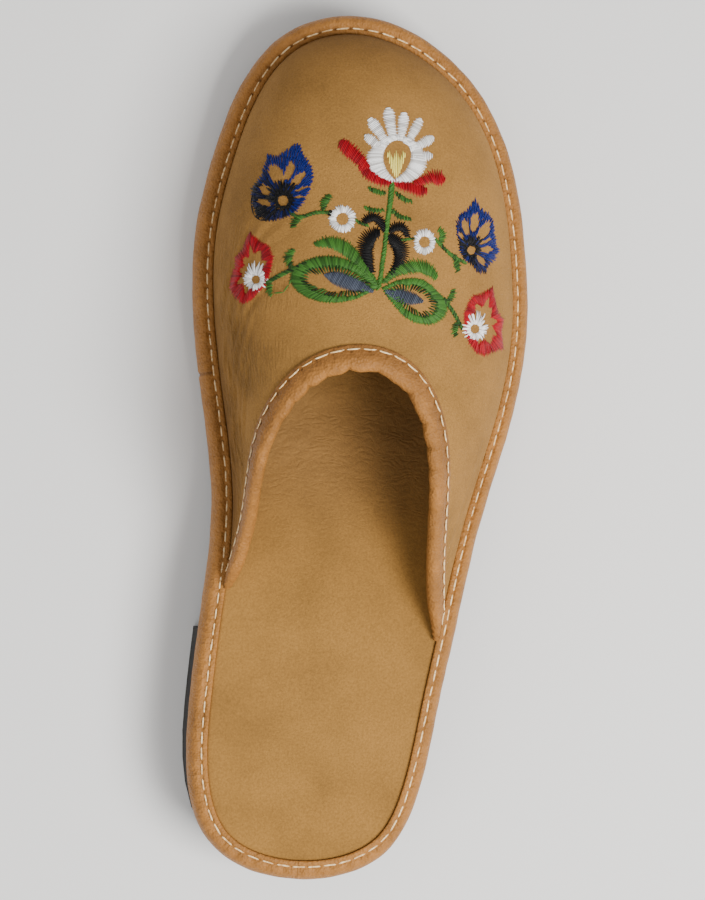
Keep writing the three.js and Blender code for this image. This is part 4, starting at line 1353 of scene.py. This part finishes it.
def covered(bare, spots, ragged):
    """Whether spots lie in one of the leaning ovals, larger or smaller for each thread"""
    found = np.zeros(spots.shape[:-1], bool)
    for x, y, across, along, lean in bare:
        turn = math.radians(lean)
        dx, dy = spots[..., 0] - x, spots[..., 1] - y
        side = dx * math.cos(turn) + dy * math.sin(turn)
        up = -dx * math.sin(turn) + dy * math.cos(turn)
        found |= (side / across)**2 + (up / along)**2 < ragged
    return found


def longest_run(kept):
    """First and last place of the longest unbroken run"""
    best = (0, 0)
    first = None
    for k, value in enumerate(list(kept) + [False]):
        if value and first is None:
            first = k
        if not value and first is not None:
            if k - 1 - first > best[1] - best[0]:
                best = (first, k - 1)
            first = None
    return best


def chart_points(flat, tree):
    """Lays chart points on the vamp as the photograph sees them, with the surface's directions"""
    turn = VIEW_LEAN
    x = CHART_ROOT[0] + CHART_UNIT * (flat[:, 0] * math.cos(turn) - flat[:, 1] * math.sin(turn))
    y = CHART_ROOT[1] + CHART_UNIT * (flat[:, 0] * math.sin(turn) + flat[:, 1] * math.cos(turn))
    eye = Vector(VIEW_EYE)
    places, ups = [], []
    for a, b in zip(x, y):
        ray = (Vector((a, b, CHART_HEIGHT)) - eye).normalized()
        place, up, _, _ = tree.ray_cast(eye, ray)
        if place is None:
            raise RuntimeError("an embroidery thread misses the vamp")
        places.append(place)
        ups.append(up if up.z > 0 else -up)
    return np.array(places), np.array(ups)


# Cross-section of a thread as shares of its width: across it and up from the vamp
THREAD_CORNERS = np.array([(-0.5, -0.22), (-0.3, 0.22), (0.3, 0.22), (0.5, -0.22)])


def thread_mesh(name, threads, tree, width):
    """Raised threads as one joined mesh; each has its own tone"""
    start = np.concatenate(threads.start)
    end = np.concatenate(threads.end)
    rise = np.concatenate(threads.rise)
    count = len(start)
    share = np.linspace(0, 1, THREAD_POINTS)
    flat = start[:, None] + (end - start)[:, None] * share[None, :, None]
    places, ups = chart_points(flat.reshape(-1, 2), tree)
    places = places.reshape(count, THREAD_POINTS, 3)
    ups = ups.reshape(count, THREAD_POINTS, 3)
    along = np.gradient(places, axis=1)
    along /= np.maximum(np.linalg.norm(along, axis=-1, keepdims=True), 1e-6)
    side = np.cross(along, ups)
    side /= np.maximum(np.linalg.norm(side, axis=-1, keepdims=True), 1e-6)
    arch = (1 - np.abs(2 * share - 1)**3)[None] * rise[:, None] - 0.06
    centre = places + ups * arch[..., None]
    thick = (0.55 + 0.45 * (1 - np.abs(2 * share - 1)**4))[None, :, None, None] * width
    across, up = THREAD_CORNERS.T[..., None]
    ring = centre[:, :, None] + thick * (side[:, :, None] * across + ups[:, :, None] * up)
    skin = Skin()
    numbers = skin.rows(ring)
    a = numbers[:, :-1]
    b = numbers[:, 1:]
    skin.faces.append(np.stack([a, np.roll(a, -1, 2), np.roll(b, -1, 2), b], -1).reshape(-1, 4))
    skin.faces.append(numbers[:, 0, ::-1])
    skin.faces.append(numbers[:, -1])
    tone = np.repeat(np.concatenate(threads.tone), THREAD_POINTS * len(THREAD_CORNERS))
    return skin.build(name, {"tone": tone})


def scalloped(edge, centre):
    """Inner edge of a petal rim: a closed edge drawn in to its centre, with nine scallops"""
    line = evenly(np.asarray(edge, float), 160)
    drawn = 0.60 + 0.10 * np.cos(np.linspace(0, 2 * math.pi, 160) * 9 + 1.0)
    return np.asarray(centre) + (line - np.asarray(centre)) * drawn[:, None]


def white_threads(pitch):
    """Crown petals, small flowers and the rays in the red flowers"""
    white = Threads(pitch, 11)
    for petal in PETALS_WHITE:
        slim = [(x, y, half * PETAL_SLIMMER) for x, y, half in petal]
        white.column(slim, tooth=0.7, tone=0.7)
    white.band(CROWN_EDGE, CROWN_HOLE, fringe=0.6)
    for centre, across, along, hole in RING_FLOWERS:
        white.ring(centre, across, along, hole)
    for _, _, eye, hole, reach in RED_FLOWERS:
        white.ring(eye, reach * 0.78, reach * 0.9, hole, tooth=3)
        angles = list(range(0, 360, 20))
        lengths = [reach * (1.45 if 50 < a < 130 else 1.05) for a in angles]
        white.rays(eye, angles, lengths, 6, hole)
    return white


def red_threads(pitch):
    """Sepals of the crown and rims of the red flowers"""
    red = Threads(pitch, 12)
    for sepal in SEPALS:
        red.column(sepal, slant=12, tooth=1.5)
    for border, centre, eye, _, reach in RED_FLOWERS:
        edge = border + border[:1]
        red.band(edge, scalloped(edge, centre), fringe=1.5, curved=False, eye=(eye, reach * 0.62))
    return red


def blue_threads(pitch):
    """Petals of the pansies"""
    blue = Threads(pitch, 13)
    for border, eye, _, ring, bare in PANSIES:
        blue.pansy(border, eye, ring - 1.5, bare)
    return blue


def black_threads(pitch):
    """Hooks on the stem, rings and rays round the pansies' eyes, a loose thread and a knot"""
    black = Threads(pitch, 14)
    for column in HOOKS_BLACK:
        black.column(column, slant=-10, tooth=1.35)
    for _, eye, hole, ring, _ in PANSIES:
        black.ring(eye, ring, ring, hole, tooth=2.5, rise=THREAD_RISE * 1.3)
        angles = [0, 16, 32, 46, 60, 72, 82, 92, 102, 114, 128, 144, 164, 190, 225, 260, 300, 335]
        lengths = [ring * (2.0 if 40 < a < 150 else 1.3) for a in angles]
        black.rays(eye, angles, lengths, 5, hole + 1)
    black.lay(LOOSE_BLACK[:-1], LOOSE_BLACK[1:], 0.2)
    black.ring(KNOT_BLACK, KNOT_RADIUS, KNOT_RADIUS, 0.6, tooth=0.6)
    return black


def green_threads(pitch):
    """Leaves and stems, and a loose thread"""
    green = Threads(pitch, 15)
    for outer, inner in BIG_LEAVES:
        green.band(outer, inner, fringe=8.5, skew=0.012)
    for column in LEAFLETS:
        green.column(column, slant=24, tooth=1.2, tone=0.45)
    for column in THIN_STEMS:
        green.column(column, slant=48, tooth=0.8, tone=0.35)
    for column in CRESCENT_LEAVES:
        green.column(column, slant=26, tooth=1.6, tone=0.6)
    green.column(MAIN_STEM, slant=50, tooth=1.0, rise=THREAD_RISE * 1.7, tone=0.75)
    green.lay(LOOSE_GREEN[:-1], LOOSE_GREEN[1:], 0.15)
    return green


def yellow_threads(pitch):
    """The tulip in the crown"""
    yellow = Threads(pitch, 16)
    share = np.linspace(-1, 1, int(2 * TULIP_HALF / pitch))
    x = TULIP_MIDDLE + TULIP_HALF * share
    cup = TULIP_FOOT + 21 * np.abs(share)**1.6
    prongs = TULIP_PRONGS + 6.5 * np.cos(share * math.pi / 0.85)**2
    yellow.lay(np.stack([x, cup], 1), np.stack([x, prongs], 1), THREAD_RISE, 0.7)
    return yellow


def grey_threads(pitch):
    """Spindles in the big leaves"""
    grey = Threads(pitch, 17)
    for column in SPINDLES:
        grey.column(column, slant=-8, tooth=0.3, rise=THREAD_RISE * 1.4)
    return grey


# In a moulded piece: the sharpest edge that is smoothed, and the distance in metres that joins points
SMOOTH_EDGE = math.radians(32)
SAME_POINT = 0.00001


def moulded(solid, name):
    """Copy of a solid's mesh with its corners joined, smooth except at its true edges"""
    form = bmesh.new()
    form.from_mesh(solid.data)
    form.transform(solid.matrix_world)
    bmesh.ops.remove_doubles(form, verts=form.verts, dist=SAME_POINT)
    for face in form.faces:
        face.smooth = True
    for edge in form.edges:
        edge.smooth = edge.calc_face_angle(0.0) < SMOOTH_EDGE
    mesh = bpy.data.meshes.new(name)
    form.to_mesh(mesh)
    form.free()
    return new_object(name, mesh)


def tone_setting(name, code):
    """Colour setting that starts from an sRGB hex code"""
    return FloatVectorProperty(name=name, description="Colour of the " + name.lower(), subtype="COLOR",
                               default=colour(code)[:3], min=0.0, max=1.0)


class SlipperStyle(bpy.types.PropertyGroup):
    """Colours and sizes that a user would change"""
    stitch_width: FloatProperty(name="Stitch width", description="Width of the seam thread", default=0.00056,
                                min=0.0003, max=0.0012, unit="LENGTH", subtype="DISTANCE")
    seam_wander: FloatProperty(name="Seam wander", description="How unevenly the stitches lie", default=0.05,
                               min=0.0, max=0.3, subtype="ANGLE")
    thread_count: IntProperty(name="Threads per centimetre", description="Density of the satin stitches",
                              default=23, min=10, max=50)
    vamp_tone: tone_setting("Vamp", "#a87c42")
    sock_tone: tone_setting("Sock", "#a5793d")
    wrap_tone: tone_setting("Wrap", "#a97338")
    collar_tone: tone_setting("Collar strip", "#a06c34")
    green: tone_setting("Green thread", "#41712a")
    blue: tone_setting("Blue thread", "#071b68")
    red: tone_setting("Red thread", "#a60318")
    white: tone_setting("White thread", "#ffffff")
    black: tone_setting("Black thread", "#060507")
    yellow: tone_setting("Yellow thread", "#fff07c")
    grey: tone_setting("Grey thread", "#4a5160")
    light_power: FloatProperty(name="Light power", description="Strength of the lamps", default=1.0,
                               min=0.1, max=5.0)
    floor_tone: tone_setting("Floor", "#f3f3f3")


# Stage in metres: the floor's half width, soft daylight, and lamps as name, place, size, watts, colour
FLOOR_REACH = 3.0
DAYLIGHT_TONE = (1.0, 0.99, 0.97, 1.0)
DAYLIGHT_STRENGTH = 0.56
LAMP_AIM = (0.0, 0.0, 0.03)
LAMPS = (
    ("key", (0.52, -0.3, 0.9), 0.5, 17.0, (1.0, 0.98, 0.94)),
    ("fill", (-0.5, -0.7, 0.8), 0.9, 2.5, (0.98, 0.99, 1.0)),
)

# Camera: the height in metres that it aims at, its sensor, the photograph's height in pixels, and how
# much smaller the shoe is framed
CAMERA_AIM = 0.02
SENSOR_HEIGHT = 24.0
PHOTO_HEIGHT = 900.0
FRAMED_SCALE = 0.975


class SLIPPER_OT_stage(bpy.types.Operator):
    """Sets up the floor, the lights and the camera at the photograph's angle"""
    bl_idname = "slipper.stage"
    bl_label = "Stage"

    def execute(self, context):
        style = context.scene.slipper_style
        self.floor(style)
        self.daylight(context)
        self.lamps(style)
        self.camera(context)
        return {"FINISHED"}

    def floor(self, style):
        """Level board under the shoe"""
        mesh = bpy.data.meshes.new("floor")
        corners = [(-1, -1, 0), (1, -1, 0), (1, 1, 0), (-1, 1, 0)]
        mesh.from_pydata([Vector(corner) * FLOOR_REACH for corner in corners], [], [(0, 1, 2, 3)])
        floor = new_object("floor", mesh)
        mesh.materials.append(painted_floor(style.floor_tone))

    def daylight(self, context):
        """Even light from all round"""
        world = bpy.data.worlds.new("studio")
        world.use_nodes = True
        background = world.node_tree.nodes["Background"]
        background.inputs["Color"].default_value = DAYLIGHT_TONE
        background.inputs["Strength"].default_value = DAYLIGHT_STRENGTH
        context.scene.world = world

    def lamps(self, style):
        """Area lamps that point at the shoe"""
        for name, place, size, power, tone in LAMPS:
            data = bpy.data.lights.new(name, "AREA")
            data.size = size
            data.energy = power * style.light_power
            data.color = tone
            lamp = new_object(name, data)
            lamp.location = place
            lamp.rotation_euler = (Vector(LAMP_AIM) - Vector(place)).to_track_quat("-Z", "Y").to_euler()

    def camera(self, context):
        """Camera at the photograph's place, with its lean and a little more round the shoe"""
        eye = (np.array(VIEW_EYE) + SHIFT) * MM
        low, high = CAD_BOX
        aim = Vector(((low[0] + high[0]) / 2, (low[1] + high[1]) / 2, CAMERA_AIM))
        back = (Vector(eye) - aim).normalized()
        up = Vector((-math.sin(VIEW_LEAN), math.cos(VIEW_LEAN), 0.0))
        right = up.cross(back).normalized()
        up = back.cross(right)
        data = bpy.data.cameras.new("photo_view")
        data.sensor_fit = "VERTICAL"
        data.sensor_height = SENSOR_HEIGHT
        data.lens = SENSOR_HEIGHT * VIEW_PIXELS * FRAMED_SCALE / PHOTO_HEIGHT
        data.clip_start = 0.01
        camera = new_object("photo_view", data)
        camera.matrix_world = Matrix(((right.x, up.x, back.x, eye[0]), (right.y, up.y, back.y, eye[1]),
                                      (right.z, up.z, back.z, eye[2]), (0, 0, 0, 1)))
        context.scene.camera = camera


class SLIPPER_OT_sole(bpy.types.Operator):
    """Gives the rubber outsole and heel their finish"""
    bl_idname = "slipper.sole"
    bl_label = "Rubber sole"

    def execute(self, context):
        rubber = black_rubber()
        for node in ("outsole", "heel"):
            piece = moulded(bpy.data.objects[node], "moulded_" + node)
            finish_piece(piece, rubber, "black_rubber", node)
        return {"FINISHED"}


class SLIPPER_OT_platform(bpy.types.Operator):
    """Builds the leather wrap round the platform, and the sock"""
    bl_idname = "slipper.platform"
    bl_label = "Wrap and sock"

    def execute(self, context):
        style = context.scene.slipper_style
        stops = shades(style.wrap_tone, (0.3, 0.5, 0.7))
        tan = drummed_leather("drummed_wrap_leather", stops, 0.5)
        finish_piece(build_wrap(), tan, "wrap_leather", "midsole")
        finish_piece(build_sock(), sock_nubuck(style.sock_tone), "sock_leather", "insole")
        return {"FINISHED"}


class SLIPPER_OT_vamp(bpy.types.Operator):
    """Builds the vamp with its creases, and the strip that binds its collar"""
    bl_idname = "slipper.vamp"
    bl_label = "Vamp and binding"

    def execute(self, context):
        style = context.scene.slipper_style
        finish_piece(build_vamp(), vamp_nubuck(style.vamp_tone), "vamp_nubuck", "upper")
        stops = shades(style.collar_tone, (0.3, 0.5, 0.7), high=1.25)
        tan = drummed_leather("drummed_binding_leather", stops, 0.3)
        finish_piece(build_binding(), tan, "wrap_leather", "collar_binding")
        return {"FINISHED"}


# The embroidery's threads: colour setting, maker and the sRGB code of their shaded side
EMBROIDERY = (
    ("green", green_threads, "#10230c"),
    ("blue", blue_threads, "#02030c"),
    ("red", red_threads, "#55060f"),
    ("white", white_threads, "#8a8178"),
    ("black", black_threads, "#020202"),
    ("yellow", yellow_threads, "#c8ac48"),
    ("grey", grey_threads, "#272d3a"),
)


def ground():
    """The vamp's outer face as a tree to cast rays at"""
    grid = vamp_surface()[::2, ::2]
    n = np.arange(grid.shape[0] * grid.shape[1]).reshape(grid.shape[:2])
    quads = np.stack([n[:-1, :-1], n[1:, :-1], n[1:, 1:], n[:-1, 1:]], -1).reshape(-1, 4)
    return BVHTree.FromPolygons(grid.reshape(-1, 3).tolist(), quads.tolist())


class SLIPPER_OT_embroidery(bpy.types.Operator):
    """Works the folk flowers on the vamp in satin threads"""
    bl_idname = "slipper.embroidery"
    bl_label = "Embroidery"

    def execute(self, context):
        style = context.scene.slipper_style
        width = 10 / style.thread_count
        tree = ground()
        for name, make, dark in EMBROIDERY:
            finish = rayon(name + "_rayon", getattr(style, name), dark)
            piece = thread_mesh(name + "_threads", make(width / CHART_UNIT), tree, width * 1.12)
            finish_piece(piece, finish, "vamp_nubuck")
        return {"FINISHED"}


class SLIPPER_OT_seams(bpy.types.Operator):
    """Runs the cream stitches round the wrap and along the collar"""
    bl_idname = "slipper.seams"
    bl_label = "Seam stitches"

    def execute(self, context):
        style = context.scene.slipper_style
        width = style.stitch_width / MM
        cream = waxed_thread()
        bead = bead_mesh("seam_bead", STITCH_PITCH * 0.78, width, width * 0.8, 0.30)
        points, normals, count = seam_stitch_path()
        seam = stitches("seam_stitches", points, normals, count, True, bead, cream, style.seam_wander)
        finish_piece(seam, cream, "wrap_leather")
        points, normals = collar_stitch_path()
        count = round(running(points)[-1] / COLLAR_PITCH)
        fine = bead_mesh("collar_bead", COLLAR_PITCH * 0.86, width * 0.85, width * 0.7, 0.25)
        collar = stitches("collar_stitches", points, normals, count, False, fine, cream, style.seam_wander)
        finish_piece(collar, cream, "wrap_leather")
        for helper in (bead, fine):
            bpy.data.objects.remove(helper)
        return {"FINISHED"}


class SLIPPER_PT_panel(bpy.types.Panel):
    """Lists the slipper's sizes and pieces"""
    bl_label = "Slipper"
    bl_idname = "SLIPPER_PT_panel"
    bl_space_type = "VIEW_3D"
    bl_region_type = "UI"
    bl_category = "Slipper"

    def draw(self, context):
        style = context.scene.slipper_style
        for key in SlipperStyle.__annotations__:
            self.layout.prop(style, key)
        for step in STEPS:
            self.layout.operator(step.bl_idname)


STEPS = (SLIPPER_OT_stage, SLIPPER_OT_sole, SLIPPER_OT_platform, SLIPPER_OT_vamp, SLIPPER_OT_embroidery,
         SLIPPER_OT_seams)
CLASSES = (SlipperStyle, *STEPS, SLIPPER_PT_panel)


def register():
    for item in CLASSES:
        bpy.utils.register_class(item)
    bpy.types.Scene.slipper_style = PointerProperty(type=SlipperStyle)


def unregister():
    del bpy.types.Scene.slipper_style
    for item in reversed(CLASSES):
        bpy.utils.unregister_class(item)


def main():
    register()
    for step in STEPS:
        group, name = step.bl_idname.split(".")
        getattr(getattr(bpy.ops, group), name)()


if __name__ == "__main__":
    main()
